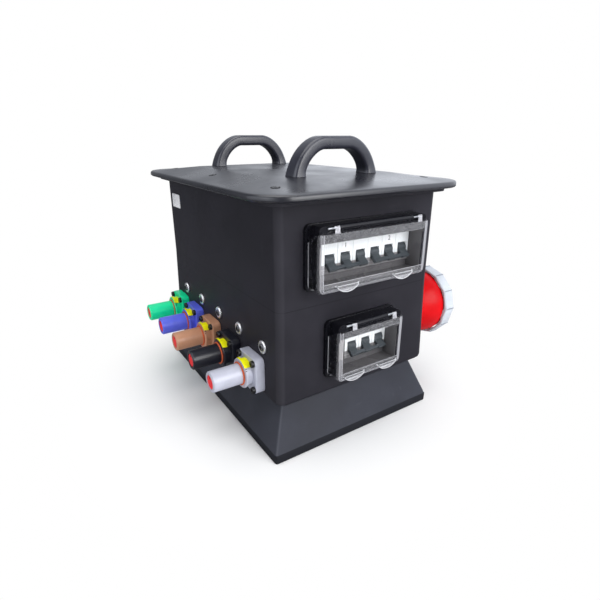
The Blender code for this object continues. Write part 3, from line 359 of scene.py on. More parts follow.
@dataclass(frozen=True)
class ClearShell:
    """Clear hard plastic of a window cover: frosted knurled bands and knurled tabs, with painted highlights on
    its outlines, rims and lugs.

    Lengths are in millimetres. Clear, glare, far_glare and border are how much of the pale shell shows, from 0
    to 1:
    clear everywhere, glare as a painted sheen towards grazing views, far_glare as a painted reflection on the
    far wall, and border as a painted sheen between the rim's lines.
    """

    name: str
    sides: Pair
    foot: float
    front_y: float
    bands: Tuple[Pair, Pair]
    lug_z: float
    wall: float = 2.0
    corner: float = 9.0
    line_in: float = 7.6
    tab_share: float = 0.52
    tab_foot: float = 9.2
    moon_radius: float = 25.35
    moon_rise: float = 24.35
    lug_left: float = 28.2
    lug_right: float = 19.6
    dot_turns: float = 2.6
    diamond_turns: float = 1.7
    clear: float = 0.004
    glare: float = 0.1
    far_glare: float = 0.24
    border: float = 0.24
    fresh: Triple = (0.74, 0.74, 0.79)
    frosted: Triple = (0.93, 0.94, 0.96)

    def make(self) -> Material:
        """Build the material."""
        graph = Graph.named(self.name)
        at = self.lay_out(graph)
        skin = at.across_in.lowest(at.up_in, at.deep).step(self.wall - 0.1, self.wall - 0.4)
        strips = self.strips(at)
        dots = at.x.crossed(at.z, self.dot_turns)
        knurl = strips * (0.1 + 0.2 * dots + 0.22 * at.wear_and_sheen.step(0.4, 0.7))
        grip, outline = self.tabs(at)
        diamond = (at.x + at.z).crossed(at.x - at.z, self.diamond_turns)
        knob = (grip * (0.04 + 0.5 * diamond.power(2.0))).highest(outline * 0.7)
        # A pale line along the rear rim: painted highlight.
        back = at.deep.step(24.7, 25.1) * 0.5
        # The knurled bands and tabs are frosted plastic; the outlines, tab rims, lugs and rear rim are painted
        # highlights.
        frost_and_highlights = self.outlines(at).highest(knurl, knob, self.lugs(at), back)
        # The inner right wall, seen through the front, shows paler: painted reflection of the light from the
        # right.
        far_wall_reflection = at.across_in.step(2.3, 2.1) * at.right_half * at.deep.step(16.0, 11.0) * (1.0 - skin)
        # More of the pale shell shows towards grazing views: a painted sheen on top of its own reflection.
        shine = Wire(graph, graph.node("LayerWeight", inputs={"Blend": 0.25}).outputs["Fresnel"])
        held = ((frost_and_highlights + shine * self.glare) * skin).highest(far_wall_reflection * self.far_glare, self.clear)
        shell = graph.shader("BsdfPrincipled", {
            "Base Color": graph.blend(at.wear_and_sheen * strips.highest(grip), self.fresh, self.frosted),
            "Roughness": 0.1 + knurl * 0.4 + knob * 0.3, "Specular IOR Level": 0.6,
            "Normal": graph.bump(strips * dots + grip * diamond, 0.3)})
        through = graph.shader("BsdfTransparent", {"Color": (0.99, 0.992, 0.995, 1.0)})
        return graph.finish(graph.mixed(held.lowest(1.0), through, shell))

    def lay_out(self, graph: Graph) -> CoverMap:
        """Measure the cover in from its sides, foot, rounded rim and front."""
        x, y, z = graph.axes()
        middle, half = (self.sides[0] + self.sides[1]) / 2, (self.sides[1] - self.sides[0]) / 2
        aside = abs(x - middle)
        across_in, up_in, deep = half - aside, z - self.foot, y - self.front_y
        turned = [(self.corner - inward).highest(0.0).power(2.0) for inward in (across_in, up_in)]
        rim_in = self.corner - (turned[0] + turned[1]).power(0.5)
        # The last mask is noise that varies both the frosting's wear and the painted highlights.
        return CoverMap(x, z, aside, across_in, up_in, rim_in, deep, deep.step(5.4, 4.6),
                        x.step(middle, middle + 5.0), graph.noise(2.2))

    def outlines(self, at: CoverMap) -> Wire:
        """Give the painted highlights: the bent rim, its two lines, the lines beside the bands and the pale
        border, a painted sheen that is stronger on the right half, where the light falls.
        """
        (low, low_top), (_, high_top) = self.bands
        bend = at.rim_in.step(4.8, 2.6) * at.face * (0.06 + 0.08 * at.wear_and_sheen)
        inner = at.rim_in.near(2.9, 0.8, 0.2) * 0.42
        outer = at.rim_in.near(0.4, 0.7, 0.2) * at.up_in.step(4.0, 2.0) * 0.5
        banded = at.z.between((low, high_top))
        upright = at.across_in.near(self.line_in, 0.7, 0.3) * banded * 0.5
        level = abs(at.z - low).lowest(abs(at.z - low_top)).step(0.6, 0.2)
        level = level * at.across_in.step(self.line_in - 0.6, self.line_in) * 0.5
        border = at.across_in.between((3.0, 7.4)) * banded
        border = border * (self.border + at.right_half * self.border * 0.6)
        return bend.highest(inner.highest(outer, upright, level, border) * at.face)

    def strips(self, at: CoverMap) -> Wire:
        """Give the two frosted bands, the upper a little stronger."""
        low, high = self.bands
        both = (at.z.between(low) * 0.5).highest(at.z.between(high) * 0.55)
        return both * at.across_in.step(self.line_in, self.line_in + 0.8) * at.face

    def tabs(self, at: CoverMap) -> Tuple[Wire, Wire]:
        """Give the two half-moon tabs, and their outlines as a painted highlight."""
        side = at.aside - self.tab_share * (self.sides[1] - self.sides[0]) / 2
        moon = (side.power(2.0) + (at.up_in - self.moon_rise).power(2.0)).power(0.5)
        grip = moon.step(self.moon_radius + 0.1, self.moon_radius - 0.3) * at.up_in.step(10.2, 9.4) * at.face
        arc = moon.near(self.moon_radius - 0.7, 0.8, 0.3) * at.up_in.step(9.0, 8.0)
        return grip, arc.highest(at.up_in.near(self.tab_foot, 0.7, 0.3)) * grip

    def lugs(self, at: CoverMap) -> Wire:
        """Give the two hinge lugs above the cover, pale as a painted highlight."""
        near = abs(at.x - self.sides[0] - self.lug_left).lowest(abs(at.x - self.sides[1] + self.lug_right))
        above = at.z.step(self.lug_z, self.lug_z + 1.0)
        return near.step(4.6, 3.8) * above * (0.4 + 0.3 * at.wear_and_sheen.step(0.35, 0.7))


@dataclass(frozen=True)
class BreakerCase:
    """Pale case of a breaker whose lower part is dark, with a thin pale line across the dark part."""

    name: str
    split: float
    line: float
    green: Optional[float] = None

    def make(self) -> Material:
        """Build the material."""
        graph = Graph.named(self.name)
        z = graph.axes()[2]
        rounded, edges = graph.soft_edge(0.4)
        haze = graph.noise(18.0, 4.0)
        pale = graph.blend(haze, (0.90, 0.93, 0.94), (0.95, 0.96, 0.96))
        dark = graph.blend(haze, (0.27, 0.26, 0.265), (0.33, 0.32, 0.325))
        dark = graph.blend(z.near(self.line, 0.7, 0.3) * 0.8, dark, (0.6, 0.6, 0.62))
        colour = graph.blend(z.step(self.split - 0.25, self.split + 0.25), dark, pale)
        if self.green is not None:
            colour = graph.blend(z.near(self.green, 0.8, 0.4) * 0.8, colour, from_screen(120, 175, 140))
        return graph.finish(graph.shader("BsdfPrincipled", {
            "Base Color": graph.blend(edges * 0.25, colour, (0.6, 0.6, 0.6)), "Roughness": 0.36 + haze * 0.15,
            "Normal": graph.bump(graph.noise(0.5), 0.015, rounded)}))


class Tint(Enum):
    """Colours of the single-pole connectors, front to back."""

    GREY = from_screen(186, 188, 202)
    BLACK = from_screen(24, 25, 35)
    BROWN = from_screen(196, 143, 112)
    BLUE = from_screen(97, 111, 240)
    GREEN = from_screen(0, 252, 172)


# Its corner highlight is a painted highlight on the upright corners, and its crease line is painted shade.
ENCLOSURE_RUBBER = Moulded(
    "enclosure_rubber", (0.0235, 0.0225, 0.0288), (0.5, 0.1), (0.8, 0.02), (0.16, 70.0), (1.2, 0.3, 0.12),
    corner_highlight=0.3, crease=230.8)
# Its strong rubbed edges are partly wear and partly a painted highlight along the edges; its corner highlight
# is a painted highlight, and its foot is darkened by painted shade.
PLINTH_RUBBER = Moulded(
    "plinth_rubber", (0.036, 0.038, 0.049), (0.52, 0.14), (0.8, 0.03), (0.18, 60.0), (1.6, 0.6, 0.2),
    corner_highlight=1.0, foot_shade=15.0)
LID_RUBBER = Moulded(
    "lid_rubber", (0.012, 0.0125, 0.018), (0.32, 0.62), (0.8, 0.008), (0.12, 80.0), (1.0, 0.3, 0.14))
GASKET_RUBBER = Moulded("gasket_rubber", (0.02, 0.02, 0.02), (0.8, 0.3), (0.5, 0.03))
HANDLE_PLASTIC = Moulded(
    "handle_plastic", (0.021, 0.022, 0.034), (0.32, 0.6), (0.9, 0.012), (0.1, 45.0), (0.8, 0.2, 0.1))
FRAME_PLASTIC = Moulded(
    "frame_plastic", (0.006, 0.006, 0.009), (0.26, 0.25), (0.4, 0.006), (0.15, 40.0), (0.6, 0.2, 0.06))
BLANK_PLASTIC = Moulded("blank_plastic", (0.33, 0.31, 0.30), (0.4, 0.3), (0.5, 0.01))
TOGGLE_PLASTIC = Moulded(
    "toggle_plastic", (0.060, 0.070, 0.078), (0.4, 0.25), (0.5, 0.01), (0.15, 12.0), (0.5, 0.5, 0.0))
SEAL_RUBBER = Moulded(
    "seal_rubber", from_screen(212, 98, 58), (0.55, 0.3), (0.5, 0.02), (0.12, 14.0), (0.3, 0.1, 0.0))
GUARD_PLASTIC = Moulded(
    "guard_plastic", from_screen(255, 56, 60), (0.4, 0.06), (0.4, 0.008), (0.1, 9.0), (0.7, 0.2, 0.0))
INLET_PLASTIC = Moulded(
    "inlet_plastic", from_screen(206, 0, 10), (0.35, 0.14), (0.6, 0.01), (0.14, 35.0), (0.8, 0.1, 0.05))
CARRIER_PLASTIC = Moulded("carrier_plastic", (0.02, 0.02, 0.022), (0.5, 0.4), (0.5, 0.02))
RING_PLASTIC = Moulded(
    "ring_plastic", from_screen(196, 202, 210), (0.4, 0.3), (0.6, 0.012), (0.08, 20.0), (0.6, 0.2, 0.05))
# The grip bars are darker than the ring: painted shade for the shade lines at the steps between its facets.
RING_RIB_SHADE = replace(RING_PLASTIC, name="ring_rib_shade", colour=from_screen(140, 146, 156), wear=(0.2, 0.2, 0.05))
SCREW_BLACK = Moulded(
    "screw_black", (0.008, 0.008, 0.009), (0.3, 0.4), (0.3, 0.008), (0.2, 3.0), (0.25, 0.4, 0.0))
# Near-black finish for hollows: painted shade in the lid screws' recesses, at the foot of the bolt sockets and
# in the guard slits.
RECESS_SHADE = Moulded(
    "recess_shade", (0.003, 0.003, 0.003), (0.9, 0.05), (0.3, 0.01), (0.2, 5.0), (0.1, 0.0, 0.0))
BAND_YELLOW = Moulded(
    "band_yellow", from_screen(255, 250, 4), (0.45, 0.25), (0.5, 0.01), (0.06, 8.0), (0.2, 0.1, 0.0))
PLATE_WHITE = Moulded(
    "plate_white", from_screen(250, 250, 252), (0.5, 0.3), (0.5, 0.006), (0.03, 12.0), (0.2, 0.05, 0.0))
DIGIT_DARK = Moulded(
    "digit_dark", (0.03, 0.03, 0.035), (0.5, 0.3), (0.3, 0.004), (0.1, 3.0), (0.05, 0.0, 0.0))
PIN_STEEL = Metal("pin_steel", (0.55, 0.56, 0.58), 0.28, (20.0, 1.0, 1.0))
RAIL_STEEL = Metal("rail_steel", (0.6, 0.6, 0.58), 0.38, (25.0, 1.0, 1.0), 0.4)
BOLT_STEEL = Metal("bolt_steel", (0.9, 0.9, 0.91), 0.36, (1.0, 3.0, 1.0), 0.12)
BOLT_CORE = Metal("bolt_core", (0.16, 0.16, 0.17), 0.4, (1.0, 3.0, 1.0), 0.4)
PIN_NICKEL = Metal("pin_nickel", (0.74, 0.71, 0.64), 0.22, (12.0, 1.0, 1.0), 0.2)

Finish = Union[Moulded, Metal, ClearShell, BreakerCase]


@lru_cache(maxsize=None)
def painted(finish: Finish) -> Material:
    """Give the material of a finish, made once."""
    return finish.make()


@dataclass(frozen=True)
class ScrewHead:
    """Sizes of a round screw head with a hexagon socket."""

    radius: float
    height: float
    socket: float
    depth: float
    ease: float

    def rows(self, count: int = 36) -> List[Tuple[float, List[Pair]]]:
        """Give the head's outlines with their heights, from its underside to the foot of its socket."""
        unit, flat = circle(1.0, count), self.socket * math.cos(math.pi / 6)
        rim = ((0.0, 0.0), (self.height - self.ease, 0.0), (self.height - self.ease * 0.3, self.ease * 0.3),
               (self.height, self.ease))
        slants = (math.cos(2 * math.pi * i / count % (math.pi / 3) - math.pi / 6) for i in range(count))
        hexagon = [(a * flat / slant, b * flat / slant) for slant, (a, b) in zip(slants, unit)]
        return [(height, circle(self.radius - inset, count)) for height, inset in rim] + [
            (self.height, hexagon), (self.height - self.depth, hexagon)]


class Form:
    """A mesh under construction, made of loops of points that are skinned together."""

    def __init__(self) -> None:
        """Start empty."""
        self.mesh = bmesh.new()

    def skin(self, loops: Sequence[Sequence[Vector]], closed: bool = False) -> "Form":
        """Join equal loops of points.

        Args:
            loops: The loops, in order.
            closed: Joins the last loop to the first; otherwise both ends are capped.

        Returns:
            This form.
        """
        rows = [[self.mesh.verts.new(point) for point in loop] for loop in loops]
        pairs = list(zip(rows, rows[1:]))
        if closed:
            pairs.append((rows[-1], rows[0]))
        else:
            self.mesh.faces.new(rows[0])
            self.mesh.faces.new(rows[-1])
        for low, high in pairs:
            for index in range(len(low)):
                after = (index + 1) % len(low)
                self.mesh.faces.new((low[index], low[after], high[after], high[index]))
        return self

    def stacked(self, rows: Sequence[Tuple[float, Sequence[Pair]]], centre: Vector, axis: Vector,
                closed: bool = False) -> "Form":
        """Skin outlines that stand square to an axis, each at its distance from a centre."""
        side, other = across(axis)
        return self.skin([laid(centre + axis * distance, side, other, outline) for distance, outline in rows],
                         closed)

    def turned(self, profile: Sequence[Pair], centre: Vector, axis: Vector, count: int,
               closed: bool = False) -> "Form":
        """Turn (distance, radius) pairs about an axis through a centre; closed makes a ring of them."""
        return self.stacked([(distance, circle(radius, count)) for distance, radius in profile], centre, axis,
                            closed)


def across(axis: Vector) -> Tuple[Vector, Vector]:
    """Give two unit directions square to an axis and to each other."""
    side = Vector((0.0, 0.0, 1.0)) if abs(axis.z) < 0.7 else Vector((1.0, 0.0, 0.0))
    side = (side - axis * side.dot(axis)).normalized()
    return side, axis.cross(side)


def laid(centre: Vector, side: Vector, other: Vector, points: Sequence[Pair]) -> List[Vector]:
    """Lay flat points on the plane through a centre along two directions."""
    return [centre + side * a + other * b for a, b in points]


def circle(radius: float, count: int) -> List[Pair]:
    """Give the points of a circle."""
    return [(radius * math.cos(2 * math.pi * i / count), radius * math.sin(2 * math.pi * i / count))
            for i in range(count)]


def rounded_outline(half_a: float, half_b: float, radius: float, steps: int = 6) -> List[Pair]:
    """Give the points of a rounded rectangle.

    Args:
        half_a: Half its first side.
        half_b: Half its second side.
        radius: Radius of its corners.
        steps: Steps in each corner.

    Returns:
        The points, counter-clockwise.
    """
    radius = min(radius, half_a * 0.99, half_b * 0.99)
    points = []
    for quarter, (sign_a, sign_b) in enumerate(((1, 1), (-1, 1), (-1, -1), (1, -1))):
        for step in range(steps + 1):
            turn = math.radians(90) * (quarter + step / steps)
            points.append((sign_a * (half_a - radius) + radius * math.cos(turn),
                           sign_b * (half_b - radius) + radius * math.sin(turn)))
    return points


def plate(centre: Vector, axis: Vector, halves: Pair, radius: float, thick: float) -> Form:
    """Make a thin rounded plate that stands at a centre and faces an axis; the upright half comes first."""
    rows = [(distance, rounded_outline(halves[0] - inset, halves[1] - inset, radius))
            for distance, inset in ((0.0, 0.0), (thick * 0.7, 0.0), (thick, thick * 0.3))]
    return Form().stacked(rows, centre, axis)


def surface_below(node: str, x: float, y: float) -> Tuple[Vector, Vector]:
    """Give the point of a CAD node's surface straight below a place, and its outward normal."""
    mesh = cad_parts[node].data
    points, faces = [v.co.copy() for v in mesh.vertices], [tuple(p.vertices) for p in mesh.polygons]
    return BVHTree.FromPolygons(points, faces).ray_cast(Vector((x, y, 1.0)), Vector((0.0, 0.0, -1.0)))[:2]


def shown(name: str, data: bpy.types.ID) -> bpy.types.Object:
    """Put a new object with this mesh, curve, light or camera in the scene."""
    made = bpy.data.objects.new(name, data)
    bpy.context.scene.collection.objects.link(made)
    return made


class SubAssembly:
    """A group of CAD nodes with the fittings that the scene adds to them."""

    body = "enclosure"
    weld = 0.000001
    node_sharp = math.radians(35)
    form_sharp = math.radians(40)

    def dress(self, node: str, finish: Finish) -> None:
        """Give a CAD node its finish, smooth but for its sharp edges.

        Args:
            node: The CAD node.
            finish: Its finish.
        """
        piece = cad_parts[node]
        held = piece.data.attributes.get("custom_normal")
        if held is not None:
            piece.data.attributes.remove(held)
        piece.data.shade_smooth()
        piece.modifiers.new("Join", "WELD").merge_threshold = self.weld
        piece.modifiers.new("Edges", "EDGE_SPLIT").split_angle = self.node_sharp
        piece.data.materials.clear()
        piece.data.materials.append(painted(finish))
        log.info("dressed %s in %s", node, finish.name)

    def add(self, name: str, form: Form, finish: Finish, slot: str, body: Optional[str] = None,
            replaces: Sequence[str] = ()) -> None:
        """Add one piece that rides on a body.

        Args:
            name: The piece's name.
            form: Its mesh.
            finish: Its finish.
            slot: The record's material slot; not used.
            body: The body it rides on; the sub-assembly's own if left out.
            replaces: CAD nodes it stands for.
        """
        bmesh.ops.recalc_face_normals(form.mesh, faces=form.mesh.faces)
        mesh = bpy.data.meshes.new(name)
        form.mesh.to_mesh(mesh)
        form.mesh.free()
        mesh.shade_smooth()
        mesh.set_sharp_from_angle(angle=self.form_sharp)
        mesh.materials.append(painted(finish))
        piece = shown(name, mesh)
        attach(piece, body or self.body)
        if replaces:
            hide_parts(*replaces)
        log.info("added %s", name)

    def add_corner_screws(self, name: str, middle: Vector, offset: float, out: Vector, head: ScrewHead,
                          finish: Finish) -> None:
        """Add the four screws of a square flange, this far from its middle along Y and along Z."""
        for index, (a, b) in enumerate(SQUARE_CORNERS, 1):
            screw = Form().stacked(head.rows(), middle + Vector((0.0, a * offset, b * offset)), out)
            self.add("%s_screw_%d" % (name, index), screw, finish, "steel")


@dataclass
class Enclosure(SubAssembly):
    """Tub, lid, gasket and plinth, with the lid's screws in near-black rings of painted shade for their
    recesses, and the bare plate on the left wall.
    """

    screw: ScrewHead = ScrewHead(0.0049, 0.0004, 0.0022, 0.0003, 0.0002)
    screw_rows: Tuple[Pair, ...] = ((0.131, -0.1895), (0.132, 0.004), (0.131, 0.1895))
    well: float = 0.0062
    well_gap: float = 0.0002
    plate_middle: Triple = (-0.1417, 0.1665, 0.3335)
    plate_halves: Pair = (0.0125, 0.0205)
    plate_corner: float = 0.002
    plate_thick: float = 0.0006

    def build(self) -> None:
        """Dress the mouldings and add the small fittings."""
        self.dress("enclosure_body", ENCLOSURE_RUBBER)
        self.dress("base_plinth", PLINTH_RUBBER)
        self.dress("lid", LID_RUBBER)
        self.dress("lid_gasket", GASKET_RUBBER)
        hole = self.screw.radius + self.well_gap
        rim = [(-0.0002, self.well), (0.0001, self.well), (0.0003, self.well - 0.0006), (0.0001, hole),
               (-0.0002, hole)]
        places = [(side * x, y) for x, y in self.screw_rows for side in (-1, 1)]
        for number, (x, y) in enumerate(places, 1):
            point, normal = surface_below("lid", x, y)
            # A near-black ring round each screw stands for its recess in the lid: painted shade.
            self.add("lid_screw_well_%d" % number, Form().turned(rim, point, normal, 40, True), RECESS_SHADE,
                     "lid_rubber")
            head = Form().stacked(self.screw.rows(), point, normal)
            self.add("lid_screw_%d" % number, head, SCREW_BLACK, "steel")
        label = plate(Vector(self.plate_middle), LEFT, self.plate_halves, self.plate_corner, self.plate_thick)
        self.add("bare_plate", label, PLATE_WHITE, "breaker_white")


@dataclass
class CarryHandle(SubAssembly):
    """A moulded carry handle, swept more finely than its CAD node."""

    name: str
    middle_y: float
    foot_z: float = 0.3959
    length: float = 0.150
    rise: float = 0.0535
    level: float = 0.045
    shoulder_power: float = 1.7
    thick: float = 0.018
    width: float = 0.028
    round_off: float = 0.0055
    flare: float = 0.0015
    spread: float = 0.001
    foot_rise: float = 0.016
    steps: int = 40

    def stations(self) -> List[Tuple[float, float, float, float]]:
        """Give the stations of half the handle.

        Returns:
            Tuples of x, z, lean in radians and share of the foot's flare.
        """
        reach = (self.length - self.thick - self.level) / 2 - self.flare
        top = self.rise - self.thick / 2
        bend = 2 / self.shoulder_power
        line = []
        for step in range(self.steps + 1):
            turn = math.radians(90) * step / self.steps
            line.append((-self.level / 2 - reach * math.cos(turn) ** bend, top * math.sin(turn) ** bend))
        half = []
        for step, (x, z) in enumerate(line):
            (x_before, z_before), (x_after, z_after) = line[max(0, step - 1)], line[min(self.steps, step + 1)]
            lean = math.atan2(z_after - z_before, x_after - x_before)
            if step in (0, self.steps):
                lean = math.radians(90) if step == 0 else 0.0
            half.append((x, z, lean, max(0.0, 1 - z / self.foot_rise) ** 2))
        return half

    def build(self) -> None:
        """Sweep the handle and put it in its CAD node's place."""
        half = self.stations()
        loops = []
        for x, z, lean, share in half + [(-x, z, -lean, share) for x, z, lean, share in reversed(half)]:
            halves = self.thick / 2 + self.flare * share, self.width / 2 + self.spread * share
            up = Vector((-math.sin(lean), 0.0, math.cos(lean)))
            outline = rounded_outline(*halves, self.round_off, 7)
            loops.append(laid(Vector((x, self.middle_y, self.foot_z + z)), up, -FORWARD, outline))
        self.add("carry_" + self.name, Form().skin(loops), HANDLE_PLASTIC, "handle_plastic",
                 replaces=[self.name])


@dataclass
class BreakerWindow(SubAssembly):
    """One window: frame, clear cover, pin, blank strip and rail, with the breakers and numbers behind it."""

    name: str
    foot_z: float
    seat_y: float
    breakers: Tuple[int, ...]
    numbers: Tuple[Tuple[str, float], ...]
    bands: Tuple[Pair, Pair]
    green: Optional[float] = None
    nose_rise: float = 0.0405
    cover_depth: float = 0.031
    cover_lift: float = 2.0
    lug_rise: float = 80.0
    tray_in: float = 8.6
    tray_z: Pair = (7.6, 68.4)
    dark_below: float = 9.3
    line_below: float = 16.0
    plate_rise: float = 0.0145
    plate_halves: Pair = (0.0045, 0.0065)
    plate_corner: float = 0.0006
    plate_thick: float = 0.0003
    digit_size: float = 0.0098
    digit_thick: float = 0.00006

    def build(self) -> None:
        """Dress the window's nodes and add the numbers."""
        foot, nose = self.foot_z * MM, (self.foot_z + self.nose_rise) * MM
        low, high = (corner.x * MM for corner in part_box("window_cover_" + self.name))
        left, right = (corner.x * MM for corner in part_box("window_frame_" + self.name))
        shell = ClearShell("clear_" + self.name, (low, high), foot + self.cover_lift,
                           (self.seat_y - self.cover_depth) * MM, self.bands, foot + self.lug_rise)
        tray = ((left + self.tray_in, right - self.tray_in), (foot + self.tray_z[0], foot + self.tray_z[1]))
        moulding = replace(FRAME_PLASTIC, name="frame_" + self.name, inside=tray)
        for node, finish in (("window_frame", moulding), ("window_cover", shell), ("hinge_pin", PIN_STEEL),
                             ("blank_strip", BLANK_PLASTIC), ("din_rail", RAIL_STEEL)):
            self.dress("%s_%s" % (node, self.name), finish)
        green = None if self.green is None else nose + self.green
        case = BreakerCase("case_" + self.name, nose - self.dark_below, nose - self.line_below, green)
        for number in self.breakers:
            self.dress("breaker_%d_body" % number, case)
            self.dress("breaker_%d_toggles" % number, TOGGLE_PLASTIC)
        for text, x in self.numbers:
            self.add_number(text, x)

    def add_number(self, text: str, x: float) -> None:
        """Add one number plate with its digit.

        Args:
            text: The number.
            x: Where it stands along X.
        """
        back = Vector((x, self.seat_y, self.foot_z + self.nose_rise + self.plate_rise))
        label = plate(back, FORWARD, self.plate_halves, self.plate_corner, self.plate_thick)
        self.add("number_plate_" + text, label, PLATE_WHITE, "breaker_white")
        curve = bpy.data.curves.new("digit", "FONT")
        curve.body = text
        curve.size = self.digit_size
        curve.extrude = self.digit_thick
        curve.align_x = curve.align_y = "CENTER"
        holder = shown("digit", curve)
        bpy.context.view_layer.update()
        mesh = bpy.data.meshes.new_from_object(holder)
        bpy.data.objects.remove(holder)
        place = Matrix.Translation(back + FORWARD * (self.plate_thick + self.digit_thick))
        mesh.transform(place @ Matrix.Rotation(math.radians(90), 4, "X"))
        form = Form()
        form.mesh.from_mesh(mesh)
        bpy.data.meshes.remove(mesh)
        self.add("number_" + text, form, DIGIT_DARK, "toggle_dark")


@dataclass
class SinglePoleConnector(SubAssembly):
    """One single-pole connector with its cap screws, bare yellow band, witness marks and a guard slit of
    painted shade.
    """

    number: int
    tint: Tint
    y: float
    z: float = 0.1210
    face_x: float = -0.15857
    rim_x: float = -0.16707
    rim_end_x: float = -0.17057
    tip_x: float = -0.21727
    collar_radius: float = 0.0205
    rim_radius: float = 0.0228
    screw_offset: float = 0.0215
    screw: ScrewHead = ScrewHead(0.0052, 0.0044, 0.0024, 0.0024, 0.0007)
    seal_radius: float = 0.0170
    seal_tube: float = 0.0011
    gap: float = 0.0001
    band_angles: Pair = (-24.0, 47.0)
    band_thick: float = 0.0005
    mark_angles: Pair = (51.0, 58.0)
    mark_width: float = 3.0
    mark_x: Pair = (0.0028, 0.0005)
    mark_radius: Pair = (-0.0002, 0.0002)
    slit_rise: float = 0.0072
    slit_halves: Pair = (0.0022, 0.0006)
    slit_thick: float = 0.00015

    def build(self) -> None:
        """Dress the connector and add its fittings."""
        colour = self.tint.name.lower()
        name = "connector_%d_%s" % (self.number, colour)
        shell = Moulded("connector_%s_plastic" % colour, self.tint.value, (0.34, 0.5), (0.6, 0.012),
                        (0.08, 16.0), (0.8, 0.12, 0.04), coat=0.1)
        self.dress(name + "_housing", shell)
        self.dress(name + "_barrel", shell)
        self.dress(name + "_guard", GUARD_PLASTIC)
        middle = Vector((self.face_x, self.y, self.z))
        self.add_corner_screws(name, middle, self.screw_offset, LEFT, self.screw, SCREW_BLACK)
        tube = [(self.seal_tube + a, self.seal_radius + b) for a, b in circle(self.seal_tube, 12)]
        ring = Form().turned(tube, Vector((self.rim_end_x - self.gap, self.y, self.z)), LEFT, 64, True)
        self.add("sealing_" + colour, ring, SEAL_RUBBER, "seal_orange", replaces=[name + "_seal"])
        self.add(name + "_band", self.strip(*self.band_angles, self.band_section()), BAND_YELLOW,
                 "connector_grey")
        (start, end), (low, high) = self.mark_x, self.mark_radius
        section = [(self.rim_end_x + x, self.rim_radius + radius)
                   for x, radius in ((start, low), (start, high), (end, high), (end, low))]
        for index, angle in enumerate(self.mark_angles, 1):
            mark = self.strip(angle, angle + self.mark_width, section)
            self.add("%s_mark_%d" % (name, index), mark, SCREW_BLACK, "connector_black")
        # The guard slit is a thin near-black plate: painted shade of the opening.
        slit = plate(Vector((self.tip_x, self.y, self.z + self.slit_rise)), LEFT, self.slit_halves,
                     self.slit_halves[1], self.slit_thick)
        self.add(name + "_slit", slit, RECESS_SHADE, "connector_black")

    def band_section(self) -> List[Pair]:
        """Give the (x, radius) points of the yellow band, which steps up from the collar to its rim."""
        inner, outer = self.collar_radius + self.gap, self.rim_radius + self.gap
        start, step, end = self.face_x - 0.0003, self.rim_x + 0.0002, self.rim_end_x + 0.0002
        return [(start, inner), (start, inner + self.band_thick),
                (self.rim_x + self.band_thick + 0.0004, inner + self.band_thick),
                (self.rim_x + 0.0003, outer + self.band_thick), (end, outer + self.band_thick), (end, outer),
                (step, outer), (step, inner)]

    def strip(self, start: float, end: float, section: Sequence[Pair]) -> Form:
        """Make a strip of (x, radius) points round the collar, between degrees from the top to the front."""
        steps, middle = max(2, round((end - start) / 4)), Vector((0.0, self.y, self.z))
        turns = [math.radians(start + (end - start) * step / steps) for step in range(steps + 1)]
        return Form().skin([laid(middle, RIGHT, Vector((0.0, -math.sin(turn), math.cos(turn))), section)
                            for turn in turns])


@dataclass
class WallBolt(SubAssembly):
    """A flanged bolt on the left wall: bright ring, dark hexagon socket whose foot is a disc of painted shade.
    """

    number: int
    y: float
    z: float = 0.1666
    back_x: float = -0.14323
    flange: float = 0.0100
    hole: float = 0.0057
    head: ScrewHead = ScrewHead(0.0053, 0.0042, 0.0033, 0.0030, 0.0012)
    socket_shade: Tuple[Pair, Pair] = ((0.0012, 0.0030), (0.0015, 0.0030))

    def build(self) -> None:
        """Replace the bolt by a finer one and put painted shade at the foot of its socket."""
        centre = Vector((self.back_x, self.y, self.z))
        hole, flange = self.hole, self.flange
        section = [(0.0, hole), (0.0, flange), (0.0016, flange), (0.0024, flange - 0.0006),
                   (0.0026, flange - 0.0014), (0.0024, hole + 0.0004), (0.0018, hole)]
        self.add("wall_ring_%d" % self.number, Form().turned(section, centre, LEFT, 56, True), BOLT_STEEL,
                 "steel", replaces=["wall_bolt_%d" % self.number])
        head = Form().stacked(self.head.rows(), centre, LEFT)
        self.add("wall_head_%d" % self.number, head, BOLT_CORE, "steel")
        # A near-black disc at the foot of the socket: painted shade.
        self.add("wall_socket_shade_%d" % self.number, Form().turned(self.socket_shade, centre, LEFT, 24), RECESS_SHADE,
                 "connector_black")


